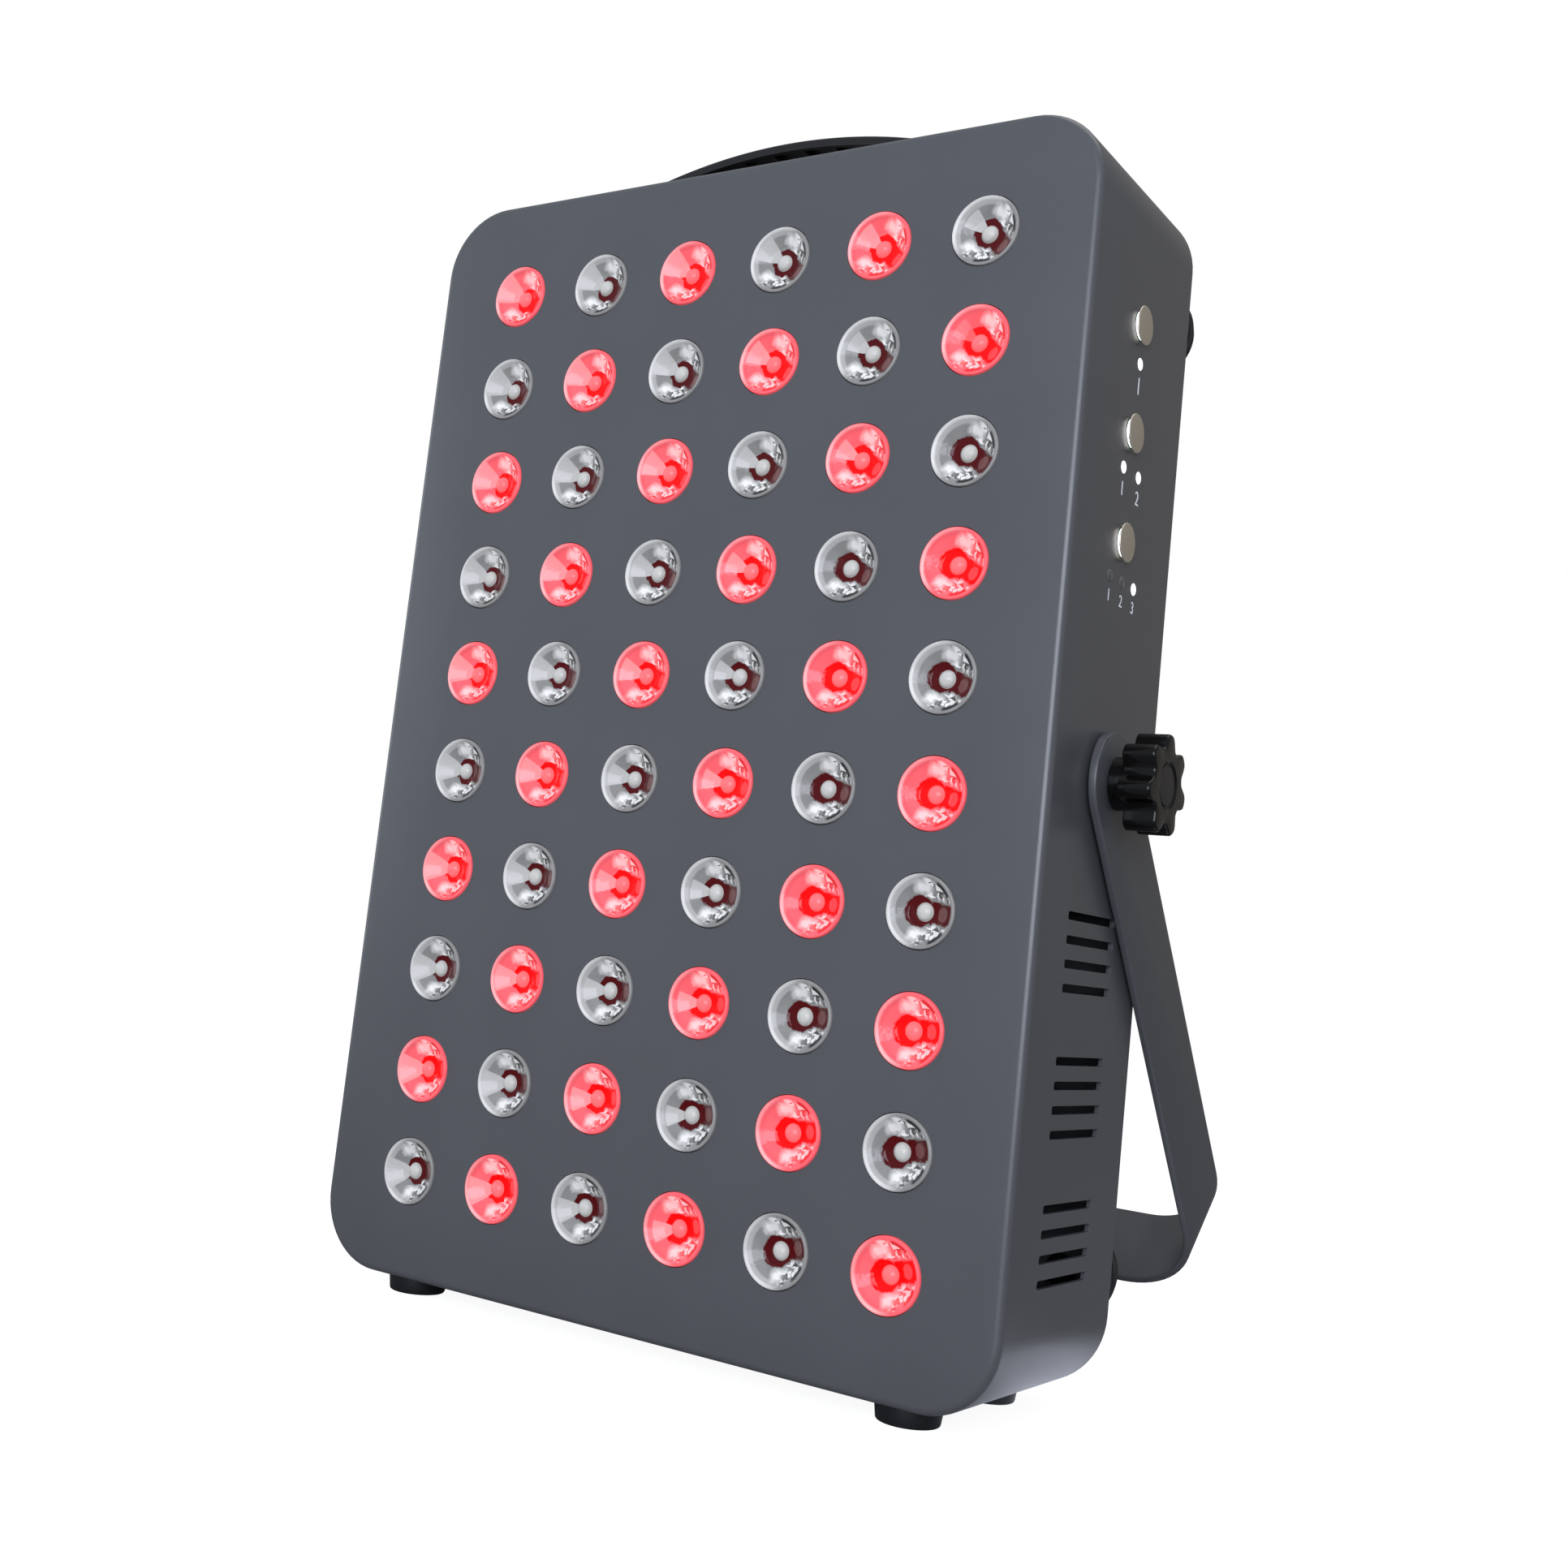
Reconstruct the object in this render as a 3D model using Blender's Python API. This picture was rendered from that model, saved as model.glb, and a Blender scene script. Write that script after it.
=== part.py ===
"""Red light therapy panel on a tilting stand, in metres, standing on its four feet.

X runs to the right as seen from the front, Y from front to back and Z up. The origin lies
on the floor under the middle of the whole object. Places inside the case are given as a
depth behind the front face and a height above the middle of the case.
"""

import math

import bmesh
import bpy
from mathutils import Matrix, Vector

# Clearances and cutting allowances
GAP = 0.0003
OVERRUN = 0.0010
MERGE_DISTANCE = 0.000001
SHARP_ANGLE = math.radians(35)

# Sheet steel case
PANEL_WIDTH = 0.2029
PANEL_HEIGHT = 0.3016
PANEL_DEPTH = 0.0624
CORNER_RADIUS = 0.0190
EDGE_RADIUS = 0.0020
SHEET = 0.0012
CORNER_STEPS = 5
EDGE_STEPS = 2
INSIDE_EDGE_STEPS = 1

# Tabs inside the case that carry the rear cover, and the cover's screws
TAB_WIDTH = 0.0120
TAB_REACH = 0.0100
SIDE_TAB_INSET = 0.0586
TAB_SCREW_INSET = 0.0045
COVER_SCREW_RADIUS = 0.0015
COVER_SCREW_LENGTH = 0.0070
COVER_SCREW_HEAD_RADIUS = 0.0030
COVER_SCREW_HEAD_HEIGHT = 0.0018
SCREW_SEGMENTS = 6

# Lens grid and the board that carries it
LENS_COLUMNS = 6
LENS_ROWS = 10
LENS_SIDE_MARGIN = 0.02895
LENS_END_MARGIN = 0.0280
LENS_RIM_RADIUS = 0.0089
LENS_BASE_RADIUS = 0.0045
LENS_BOWL_RADIUS = 0.0030
LENS_HEIGHT = 0.0110
LENS_PROUD = 0.0005
LENS_BOWL_FLOOR = 0.0035
LENS_ROOT = 0.0006
BOARD_MARGIN = 0.0020
BOARD_THICKNESS = 0.0016
HOLE_SEGMENTS = 10
LENS_SEGMENTS = 8

# Heat sink and the riveted posts that hold it behind the front plate
SINK_BASE = 0.0040
SINK_MARGIN = 0.0080
FIN_COUNT = 12
FIN_THICKNESS = 0.0016
FIN_DEPTH = 0.0160
FIN_EDGE = 0.0060
POST_RADIUS = 0.0030
POST_RIVET_RADIUS = 0.0016
POST_HEAD_RADIUS = 0.0028
POST_HEAD_HEIGHT = 0.0012
POST_SEGMENTS = 6

# Side louvres
LOUVRE_GROUPS = 3
LOUVRES_IN_GROUP = 4
LOUVRE_LENGTH = 0.0286
LOUVRE_HEIGHT = 0.0020
LOUVRE_PITCH = 0.00553
LOUVRE_GROUP_PITCH = 0.0331
LOUVRE_DROP = 0.0381

# Push buttons, their lamps and the control board behind them
BUTTON_COUNT = 3
BUTTON_INSET = 0.0442
BUTTON_PITCH = 0.0271
BUTTON_BACK = 0.0304
BUTTON_RADIUS = 0.0048
BUTTON_PROUD = 0.0013
BUTTON_CAP = 0.0006
BUTTON_STEM_RADIUS = 0.0026
BUTTON_STEM_REACH = 0.0060
LAMP_DROP = 0.0092
LAMP_PITCH = 0.0272
LAMP_BACK = 0.0319
LAMP_SPACINGS = (0, 0.0098, 0.0077)
LAMP_RADIUS = 0.0015
CONTROL_BOARD_SETBACK = 0.0080
CONTROL_BOARD_MARGIN = 0.0090
CONTROL_BOARD_DEPTH = 0.0260
SLEEVE_WALL = 0.0013
BUTTON_SEGMENTS = 12
LAMP_SEGMENTS = 8
SLEEVE_SEGMENTS = 8

# Stand strap, its pivots and hand knobs
STAND_ANGLE = math.radians(40.5)
PIVOT_DROP = 0.0058
ARM_LENGTH = 0.1561
ARM_WIDTH = 0.0246
STRIP = 0.0020
BEND_RADIUS = 0.0205
WASHER_THICKNESS = 0.0004
WASHER_RADIUS = 0.0100
STUD_RADIUS = 0.0030
NUT_RADIUS = 0.0058
NUT_THICKNESS = 0.0050
NUT_SIDES = 6
STUD_OVERHANG = 0.0010
KNOB_REACH = 0.0158
KNOB_HEAD = 0.0080
KNOB_TIP_RADIUS = 0.0121
KNOB_VALLEY_RADIUS = 0.0090
KNOB_BARREL_RADIUS = 0.0064
KNOB_CHAMFER = 0.0010
KNOB_CAP_RADIUS = 0.0042
KNOB_CAP_STEP = 0.0004
KNOB_LOBES = 7
KNOB_STEPS_IN_LOBE = 4
STUD_SEGMENTS = 12
WASHER_SEGMENTS = 12
ARM_END_STEPS = 14
BEND_STEPS = 7

# Rubber feet and rear bumpers
FOOT_HEIGHT = 0.0045
FOOT_TOP_RADIUS = 0.0080
FOOT_BOTTOM_RADIUS = 0.0074
LEFT_FOOT_INSET = 0.0274
RIGHT_FOOT_INSET = 0.0255
FRONT_FOOT_INSET = 0.0110
REAR_FOOT_INSET = 0.0110
PLUG_NECK_RADIUS = 0.0030
PLUG_HEAD_RADIUS = 0.0042
PLUG_TIP_RADIUS = 0.0022
PLUG_HEAD_HEIGHT = 0.0022
BUMPER_RADIUS = 0.0122
BUMPER_HEIGHT = 0.0095
BUMPER_CROWN_RADIUS = 0.0100
BUMPER_SIDE_INSET = 0.0125
BUMPER_TOP_INSET = 0.0323
BUMPER_BOTTOM_INSET = 0.0275
BUMPER_STEPS = 2
FOOT_SEGMENTS = 10
BUMPER_SEGMENTS = 12
PLUG_HOLE_SEGMENTS = 6

# Carrying handle
HANDLE_RISE = 0.0139
HANDLE_LENGTH = 0.1240
HANDLE_END = 0.0014
HANDLE_WIDTH = 0.0264
HANDLE_THICKNESS = 0.0026
HANDLE_WALL = 0.0014
HANDLE_BACK = 0.0180
HANDLE_POCKETS = 7
HANDLE_POCKET_LENGTH = 0.0080
HANDLE_RIB = 0.0016
HANDLE_EDGE = 0.0008
HANDLE_SCREW_INSET = 0.0065
HANDLE_SCREW_DEPTH = 0.0025
HANDLE_SCREW_RADIUS = 0.0015
HANDLE_SCREW_HEAD_RADIUS = 0.0030
HANDLE_SCREW_HEAD_HEIGHT = 0.0020
HANDLE_STEPS = 14

# Cooling fans
FAN_SIZE = 0.0800
FAN_THICKNESS = 0.0250
FAN_CORNER_RADIUS = 0.0045
FAN_DUCT_RADIUS = 0.0380
FAN_UPPER_RISE = 0.0720
FAN_SPACING = 0.0880
FAN_SCREW_SPACING = 0.0715
FAN_SCREW_RADIUS = 0.0018
FAN_SCREW_LENGTH = 0.0100
FAN_SCREW_HEAD_RADIUS = 0.0034
FAN_SCREW_HEAD_HEIGHT = 0.0020
FAN_HUB_RADIUS = 0.0170
FAN_HUB_THICKNESS = 0.0030
FAN_STRUT_WIDTH = 0.0030
FAN_STRUTS = 4
FAN_PIN_RADIUS = 0.0015
FAN_PIN_LENGTH = 0.0140
FAN_ROTOR_LENGTH = 0.0180
FAN_BLADES = 7
FAN_TIP_CLEARANCE = 0.0015
FAN_BLADE_THICKNESS = 0.0014
FAN_BLADE_WIDTH = 0.0200
FAN_ROOT_PITCH = math.radians(48)
FAN_TIP_PITCH = math.radians(30)
FAN_BLADE_ROOT = 0.0020
FAN_SLOT_COUNT = 10
FAN_SLOT_WIDTH = 0.0034
FAN_SLOT_PITCH = 0.0070
FAN_GRILLE_RADIUS = 0.0370
FAN_CORNER_STEPS = 4
FAN_HUB_SEGMENTS = 8

# LED driver
DRIVER_DEPTH = 0.0260
DRIVER_TOP_INSET = 0.1126
DRIVER_BOTTOM_INSET = 0.0386
DRIVER_EAR = 0.0080
DRIVER_EAR_THICKNESS = 0.0015
DRIVER_FAN_CLEARANCE = 0.0045
DRIVER_WALL_CLEARANCE = 0.01245

# Mains inlet and rocker switch
INLET_OFFSET = 0.0230
POWER_INSET = 0.0576
INLET_WIDTH = 0.0266
INLET_HEIGHT = 0.0196
INLET_BODY_DEPTH = 0.0210
INLET_LIP = 0.0022
INLET_FLANGE = 0.0020
INLET_WALL = 0.0018
INLET_CHAMFER = 0.0050
SOCKET_DEPTH = 0.0165
PIN_LENGTH = 0.0110
PIN_WIDTH = 0.0020
PIN_HEIGHT = 0.0040
PIN_SPACING = 0.0070
PIN_RISE = 0.0018
SWITCH_WIDTH = 0.0130
SWITCH_HEIGHT = 0.0190
SWITCH_BODY_DEPTH = 0.0140
SWITCH_WALL = 0.0012
SWITCH_CAVITY_DEPTH = 0.0080
ROCKER_CLEARANCE = 0.0005
ROCKER_SWING_CLEARANCE = 0.0009
ROCKER_HORN = 0.0030
ROCKER_VALLEY = 0.0014
ROCKER_BELLY = 0.0026
ROCKER_TILT = math.radians(8)

# Places worked out from the sizes above
SIDE = PANEL_WIDTH / 2
TOP = PANEL_HEIGHT / 2
PIVOT_BACK = PANEL_DEPTH / 2
STAND_REACH = (PIVOT_BACK + ARM_LENGTH * math.sin(STAND_ANGLE)
               + ARM_WIDTH / 2 * math.cos(STAND_ANGLE))
FRONT = (LENS_PROUD - STAND_REACH) / 2
MIDDLE = FOOT_HEIGHT + TOP
INSIDE_SIDE = SIDE - SHEET
INSIDE_TOP = TOP - SHEET
COVER_BACK = PANEL_DEPTH
COVER_FRONT = COVER_BACK - SHEET
TAB_BACK = COVER_FRONT - GAP
LENS_GRID_HALF_WIDTH = SIDE - LENS_SIDE_MARGIN
LENS_GRID_HALF_HEIGHT = TOP - LENS_END_MARGIN
LENS_PITCH_ACROSS = 2 * LENS_GRID_HALF_WIDTH / (LENS_COLUMNS - 1)
LENS_PITCH_UP = 2 * LENS_GRID_HALF_HEIGHT / (LENS_ROWS - 1)
BOARD_FRONT = LENS_HEIGHT - LENS_PROUD
BOARD_HALF_WIDTH = LENS_GRID_HALF_WIDTH + LENS_RIM_RADIUS + BOARD_MARGIN
BOARD_HALF_HEIGHT = LENS_GRID_HALF_HEIGHT + LENS_RIM_RADIUS + BOARD_MARGIN
SINK_FRONT = BOARD_FRONT + BOARD_THICKNESS + GAP
SINK_HALF_WIDTH = BOARD_HALF_WIDTH + SINK_MARGIN
SINK_HALF_HEIGHT = BOARD_HALF_HEIGHT + SINK_MARGIN
POST_ACROSS = BOARD_HALF_WIDTH + SINK_MARGIN / 2
POST_UP = BOARD_HALF_HEIGHT + SINK_MARGIN / 2
BUTTON_RISE = TOP - BUTTON_INSET
LAMP_RISE = BUTTON_RISE - LAMP_DROP
ARM_GAP = WASHER_THICKNESS + 2 * GAP
ARM_INSIDE = SIDE + ARM_GAP
ARM_OUTSIDE = ARM_INSIDE + STRIP
CONTROL_BOARD_FACE = INSIDE_SIDE - CONTROL_BOARD_SETBACK
HANDLE_CROWN = HANDLE_RISE - HANDLE_END
HANDLE_ARC_RADIUS = ((HANDLE_LENGTH / 2) ** 2 + HANDLE_CROWN ** 2) / (2 * HANDLE_CROWN)
HANDLE_SCREW_OFFSET = HANDLE_LENGTH / 2 - HANDLE_SCREW_INSET
FAN_BACK = COVER_FRONT - GAP
FAN_FRONT = FAN_BACK - FAN_THICKNESS
FAN_RISES = (FAN_UPPER_RISE, FAN_UPPER_RISE - FAN_SPACING)
DRIVER_SIDE = FAN_SIZE / 2 + DRIVER_FAN_CLEARANCE
DRIVER_WIDTH = INSIDE_SIDE - DRIVER_WALL_CLEARANCE - DRIVER_SIDE
POWER_DROP = TOP - POWER_INSET

# Turns that lay a shape's own upright axis along another direction
TO_RIGHT = Matrix.Rotation(math.pi / 2, 4, "Y")
TO_LEFT = Matrix.Rotation(-math.pi / 2, 4, "Y")
TO_BACK = Matrix.Rotation(-math.pi / 2, 4, "X")
TO_FRONT = Matrix.Rotation(math.pi / 2, 4, "X")
UPRIGHT = Matrix.Identity(4)


# Materials


def finish(name, colour, roughness, metallic=0.0):
    """A Principled material of one colour."""
    material = bpy.data.materials.new(name)
    material.use_nodes = True
    shader = material.node_tree.nodes["Principled BSDF"]
    shader.inputs["Base Color"].default_value = (*colour, 1.0)
    shader.inputs["Roughness"].default_value = roughness
    shader.inputs["Metallic"].default_value = metallic
    material.diffuse_color = (*colour, 1.0)
    return material


def powder_coat(name):
    return finish(name, (0.085, 0.088, 0.100), 0.45)


def black_plastic(name):
    return finish(name, (0.012, 0.012, 0.013), 0.30)


def black_rubber(name):
    return finish(name, (0.015, 0.015, 0.016), 0.65)


def clear_lens(name):
    return finish(name, (0.75, 0.70, 0.70), 0.10)


def bare_aluminium(name):
    return finish(name, (0.70, 0.71, 0.72), 0.35, 1.0)


def zinc_steel(name):
    return finish(name, (0.55, 0.55, 0.56), 0.35, 1.0)


def button_metal(name):
    return finish(name, (0.30, 0.27, 0.24), 0.30, 1.0)


def white_lamp(name):
    return finish(name, (0.90, 0.92, 0.95), 0.25)


def green_board(name):
    return finish(name, (0.02, 0.12, 0.05), 0.50)


def nylon(name):
    return finish(name, (0.55, 0.54, 0.50), 0.55)


# Making and placing shapes


def rounded_outline(half_width, half_height, radius, steps):
    """Points of a rounded rectangle about zero, corner by corner."""
    points = []
    for quarter, (across, up) in enumerate(((1, 1), (-1, 1), (-1, -1), (1, -1))):
        for step in range(steps + 1):
            angle = math.pi / 2 * (quarter + step / steps)
            x = across * (half_width - radius) + radius * math.cos(angle)
            y = up * (half_height - radius) + radius * math.sin(angle)
            points.append((x, y))
    return points


def circle_outline(radius, segments):
    """Points of a circle about zero."""
    angles = [math.tau * step / segments for step in range(segments)]
    return [(radius * math.cos(angle), radius * math.sin(angle)) for angle in angles]


def level(outline, height):
    """An outline lifted to one height."""
    return [(x, y, height) for x, y in outline]


def loft(rings, closed=False):
    """A skin over rings of equally many points, capped at both ends unless it closes."""
    shape = bmesh.new()
    loops = [[shape.verts.new(point) for point in ring] for ring in rings]
    pairs = list(zip(loops, loops[1:]))
    if closed:
        pairs.append((loops[-1], loops[0]))
    else:
        shape.faces.new(loops[0])
        shape.faces.new(loops[-1])
    for lower, upper in pairs:
        for index in range(len(lower)):
            after = (index + 1) % len(lower)
            shape.faces.new((lower[index], lower[after], upper[after], upper[index]))
    bmesh.ops.recalc_face_normals(shape, faces=shape.faces)
    return shape


def turned(profile, segments, closed=False):
    """A profile of (radius, height) points spun about the upright axis."""
    shape = bmesh.new()
    verts = [shape.verts.new((radius, 0, height)) for radius, height in profile]
    edges = [shape.edges.new(pair) for pair in zip(verts, verts[1:])]
    if closed:
        edges.append(shape.edges.new((verts[-1], verts[0])))
    bmesh.ops.spin(shape, geom=verts + edges, cent=(0, 0, 0), axis=(0, 0, 1), angle=math.tau,
                   steps=segments, use_merge=True)
    bmesh.ops.remove_doubles(shape, verts=shape.verts, dist=MERGE_DISTANCE)
    bmesh.ops.recalc_face_normals(shape, faces=shape.faces)
    return shape


def extruded(outline, height):
    """An outline raised from zero to a height."""
    return loft([level(outline, 0), level(outline, height)])


def block(width, depth, height):
    """A box about zero."""
    shape = bmesh.new()
    bmesh.ops.create_cube(shape, size=1)
    shape.transform(Matrix.Diagonal((width, depth, height, 1)))
    return shape


def rod(radius, length, segments):
    """A cylinder about zero, along the upright axis."""
    shape = bmesh.new()
    bmesh.ops.create_cone(shape, cap_ends=True, segments=segments, radius1=radius,
                          radius2=radius, depth=length)
    return shape


def clear_radius(radius, segments):
    """Radius of a faceted hole whose flats clear a round piece by the gap."""
    return (radius + GAP) / math.cos(math.pi / segments)


def spot(x, depth, height, turn=UPRIGHT):
    """The place of a shape in the case: across, behind the front face, above the middle."""
    return Matrix.Translation((x, FRONT + depth, MIDDLE + height)) @ turn


def piece(name, shape, material, place=UPRIGHT):
    """One named solid at its place, from a finished shape."""
    mesh = bpy.data.meshes.new(name)
    shape.to_mesh(mesh)
    shape.free()
    mesh.materials.append(material)
    mesh.shade_smooth()
    mesh.set_sharp_from_angle(angle=SHARP_ANGLE)
    result = bpy.data.objects.new(name, mesh)
    result.matrix_world = place
    bpy.context.scene.collection.objects.link(result)
    return result


def helper(name, shapes):
    """Cutting or joining shapes gathered in one hidden object, from (shape, place) pairs."""
    whole = bmesh.new()
    for shape, place in shapes:
        shape.transform(place)
        mesh = bpy.data.meshes.new(name)
        shape.to_mesh(mesh)
        shape.free()
        whole.from_mesh(mesh)
        bpy.data.meshes.remove(mesh)
    mesh = bpy.data.meshes.new(name)
    whole.to_mesh(mesh)
    whole.free()
    result = bpy.data.objects.new(name, mesh)
    result.hide_render = True
    result.display_type = "WIRE"
    bpy.context.scene.collection.objects.link(result)
    return result


def combine(target, tool, operation):
    """A Boolean of a target with a hidden helper object."""
    modifier = target.modifiers.new(tool.name, "BOOLEAN")
    modifier.operation = operation
    modifier.solver = "EXACT"
    modifier.object = tool


def cut(target, shapes):
    combine(target, helper(target.name + "_cuts", shapes), "DIFFERENCE")


def join(target, shapes):
    combine(target, helper(target.name + "_joins", shapes), "UNION")


# Places that several pieces share


def lens_places():
    """Across and up places of every lens, row by row from the top left."""
    for row in range(LENS_ROWS):
        for column in range(LENS_COLUMNS):
            yield (column * LENS_PITCH_ACROSS - LENS_GRID_HALF_WIDTH,
                   LENS_GRID_HALF_HEIGHT - row * LENS_PITCH_UP)


def louvre_heights():
    for group in range(LOUVRE_GROUPS):
        for louvre in range(LOUVRES_IN_GROUP):
            yield -LOUVRE_DROP - group * LOUVRE_GROUP_PITCH - louvre * LOUVRE_PITCH


def button_heights():
    return [BUTTON_RISE - index * BUTTON_PITCH for index in range(BUTTON_COUNT)]


def lamp_places():
    """Depth and height of every lamp: one, two and three lamps under the three buttons."""
    for row in range(BUTTON_COUNT):
        for index in range(row + 1):
            yield (LAMP_BACK + (index - row / 2) * LAMP_SPACINGS[row],
                   LAMP_RISE - row * LAMP_PITCH)


def tab_places():
    """Across and up place of each cover screw, and which way its tab grows."""
    screw_across = INSIDE_SIDE - TAB_SCREW_INSET
    screw_up = INSIDE_TOP - TAB_SCREW_INSET
    for across in (-1, 1):
        for up in (-1, 1):
            yield across * screw_across, up * (TOP - SIDE_TAB_INSET), (across, 0)
    for up in (-1, 1):
        yield 0, up * screw_up, (0, up)


def foot_places():
    for depth in (FRONT_FOOT_INSET, PANEL_DEPTH - REAR_FOOT_INSET):
        yield LEFT_FOOT_INSET - SIDE, depth
        yield SIDE - RIGHT_FOOT_INSET, depth


def bumper_places():
    for height in (TOP - BUMPER_TOP_INSET, BUMPER_BOTTOM_INSET - TOP):
        for across in (-1, 1):
            yield across * (SIDE - BUMPER_SIDE_INSET), height


def fan_screw_places(rise):
    for up in (1, -1):
        for across in (-1, 1):
            yield across * FAN_SCREW_SPACING / 2, rise + up * FAN_SCREW_SPACING / 2


# Case


def case_ring(inset, depth):
    """The case's outline drawn in by an inset, at a depth."""
    outline = rounded_outline(PANEL_WIDTH / 2 - inset, PANEL_HEIGHT / 2 - inset,
                              CORNER_RADIUS - inset, CORNER_STEPS)
    return [(x, depth, z) for x, z in outline]


def case_edge(radius, wall, steps):
    """Rings of the rounded front edge, from the flat face outwards."""
    rings = []
    for step in range(steps + 1):
        angle = math.pi / 2 * step / steps
        rings.append(case_ring(wall + radius * (1 - math.sin(angle)),
                               wall + radius * (1 - math.cos(angle))))
    return rings


def make_front_housing():
    """The folded steel tray: perforated front plate and four side walls, open at the back."""
    outside = case_edge(EDGE_RADIUS, 0, EDGE_STEPS) + [case_ring(0, PANEL_DEPTH)]
    inside = case_edge(EDGE_RADIUS - SHEET, SHEET, INSIDE_EDGE_STEPS)
    inside.append(case_ring(SHEET, PANEL_DEPTH))
    housing = piece("front_housing", loft(outside + inside[::-1]), powder_coat("case_paint"),
                    spot(0, 0, 0))
    tabs = []
    for x, height, (across, up) in tab_places():
        width = TAB_REACH + SHEET / 2 if across else TAB_WIDTH
        tall = TAB_REACH + SHEET / 2 if up else TAB_WIDTH
        shift_x = across * (INSIDE_SIDE + SHEET / 2 - width / 2) if across else x
        shift_z = up * (INSIDE_TOP + SHEET / 2 - tall / 2) if up else height
        tabs.append((block(width, SHEET, tall), spot(shift_x, TAB_BACK - SHEET / 2, shift_z)))
    join(housing, tabs)
    wall_cut = SHEET + 2 * OVERRUN
    lens_hole = clear_radius(LENS_RIM_RADIUS, HOLE_SEGMENTS)
    stem_hole = clear_radius(BUTTON_STEM_RADIUS, BUTTON_SEGMENTS)
    lamp_hole = clear_radius(LAMP_RADIUS, LAMP_SEGMENTS)
    stud_hole = clear_radius(STUD_RADIUS, STUD_SEGMENTS)
    plug_hole = clear_radius(PLUG_NECK_RADIUS, PLUG_HOLE_SEGMENTS)
    handle_hole = clear_radius(HANDLE_SCREW_RADIUS, SCREW_SEGMENTS)
    cover_hole = clear_radius(COVER_SCREW_RADIUS, SCREW_SEGMENTS)
    holes = []
    for x, height in lens_places():
        holes.append((rod(lens_hole, wall_cut, HOLE_SEGMENTS),
                      spot(x, SHEET / 2, height, TO_BACK)))
    for height in louvre_heights():
        holes.append((block(PANEL_WIDTH + 2 * OVERRUN, LOUVRE_LENGTH, LOUVRE_HEIGHT),
                      spot(0, PANEL_DEPTH / 2, height)))
    wall_middle = SIDE - SHEET / 2
    for height in button_heights():
        holes.append((rod(stem_hole, wall_cut, BUTTON_SEGMENTS),
                      spot(wall_middle, BUTTON_BACK, height, TO_RIGHT)))
    for depth, height in lamp_places():
        holes.append((rod(lamp_hole, wall_cut, LAMP_SEGMENTS),
                      spot(wall_middle, depth, height, TO_RIGHT)))
    holes.append((rod(stud_hole, PANEL_WIDTH + 2 * OVERRUN, STUD_SEGMENTS),
                  spot(0, PIVOT_BACK, -PIVOT_DROP, TO_RIGHT)))
    for x, depth in foot_places():
        holes.append((rod(plug_hole, wall_cut, PLUG_HOLE_SEGMENTS),
                      spot(x, depth, -INSIDE_TOP - SHEET / 2)))
    for across in (-1, 1):
        holes.append((rod(handle_hole, wall_cut, SCREW_SEGMENTS),
                      spot(across * HANDLE_SCREW_OFFSET, HANDLE_BACK + HANDLE_WIDTH / 2,
                           INSIDE_TOP + SHEET / 2)))
    for x, height, _ in tab_places():
        holes.append((rod(cover_hole, wall_cut, SCREW_SEGMENTS),
                      spot(x, TAB_BACK - SHEET / 2, height, TO_BACK)))
    cut(housing, holes)


def make_rear_cover():
    """The flat cover plate, with two fan grilles and cut-outs for inlet and switch."""
    inset = SHEET + GAP
    plate = loft([case_ring(inset, COVER_FRONT), case_ring(inset, COVER_BACK)])
    cover = piece("rear_cover", plate, powder_coat("cover_paint"), spot(0, 0, 0))
    middle = (COVER_FRONT + COVER_BACK) / 2
    thickness = SHEET + 2 * OVERRUN
    fan_hole = clear_radius(FAN_SCREW_RADIUS, SCREW_SEGMENTS)
    cover_hole = clear_radius(COVER_SCREW_RADIUS, SCREW_SEGMENTS)
    plug_hole = clear_radius(PLUG_NECK_RADIUS, PLUG_HOLE_SEGMENTS)
    holes = []
    for rise in FAN_RISES:
        for slot in range(FAN_SLOT_COUNT):
            x = (slot - (FAN_SLOT_COUNT - 1) / 2) * FAN_SLOT_PITCH
            length = 2 * math.sqrt(FAN_GRILLE_RADIUS ** 2 - x ** 2)
            holes.append((block(FAN_SLOT_WIDTH, thickness, length), spot(x, middle, rise)))
        for x, height in fan_screw_places(rise):
            holes.append((rod(fan_hole, thickness, SCREW_SEGMENTS),
                          spot(x, middle, height, TO_BACK)))
    for x, height, _ in tab_places():
        holes.append((rod(cover_hole, thickness, SCREW_SEGMENTS),
                      spot(x, middle, height, TO_BACK)))
    for x, height in bumper_places():
        holes.append((rod(plug_hole, thickness, PLUG_HOLE_SEGMENTS),
                      spot(x, middle, height, TO_BACK)))
    holes.append((extruded(inlet_outline(GAP), thickness),
                  spot(-INLET_OFFSET, COVER_FRONT - OVERRUN, -POWER_DROP, TO_BACK)))
    holes.append((block(SWITCH_WIDTH + 2 * GAP, thickness, SWITCH_HEIGHT + 2 * GAP),
                  spot(INLET_OFFSET, middle, -POWER_DROP)))
    cut(cover, holes)


def pan_screw(radius, length, head_radius, head_height):
    """A screw along the upright axis: the head stands above zero, the shank hangs below."""
    crown = head_radius * math.cos(math.pi / 4)
    return turned([(0, -length), (radius, -length), (radius, 0), (head_radius, 0),
                   (crown, head_height), (0, head_height)], SCREW_SEGMENTS)


def make_cover_screws():
    for index, (x, height, _) in enumerate(tab_places()):
        screw = pan_screw(COVER_SCREW_RADIUS, COVER_SCREW_LENGTH, COVER_SCREW_HEAD_RADIUS,
                          COVER_SCREW_HEAD_HEIGHT)
        piece(f"cover_screw_{index + 1}", screw, zinc_steel(f"cover_screw_steel_{index + 1}"),
              spot(x, COVER_BACK + GAP, height, TO_BACK))


# Lenses, board and heat sink


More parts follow.
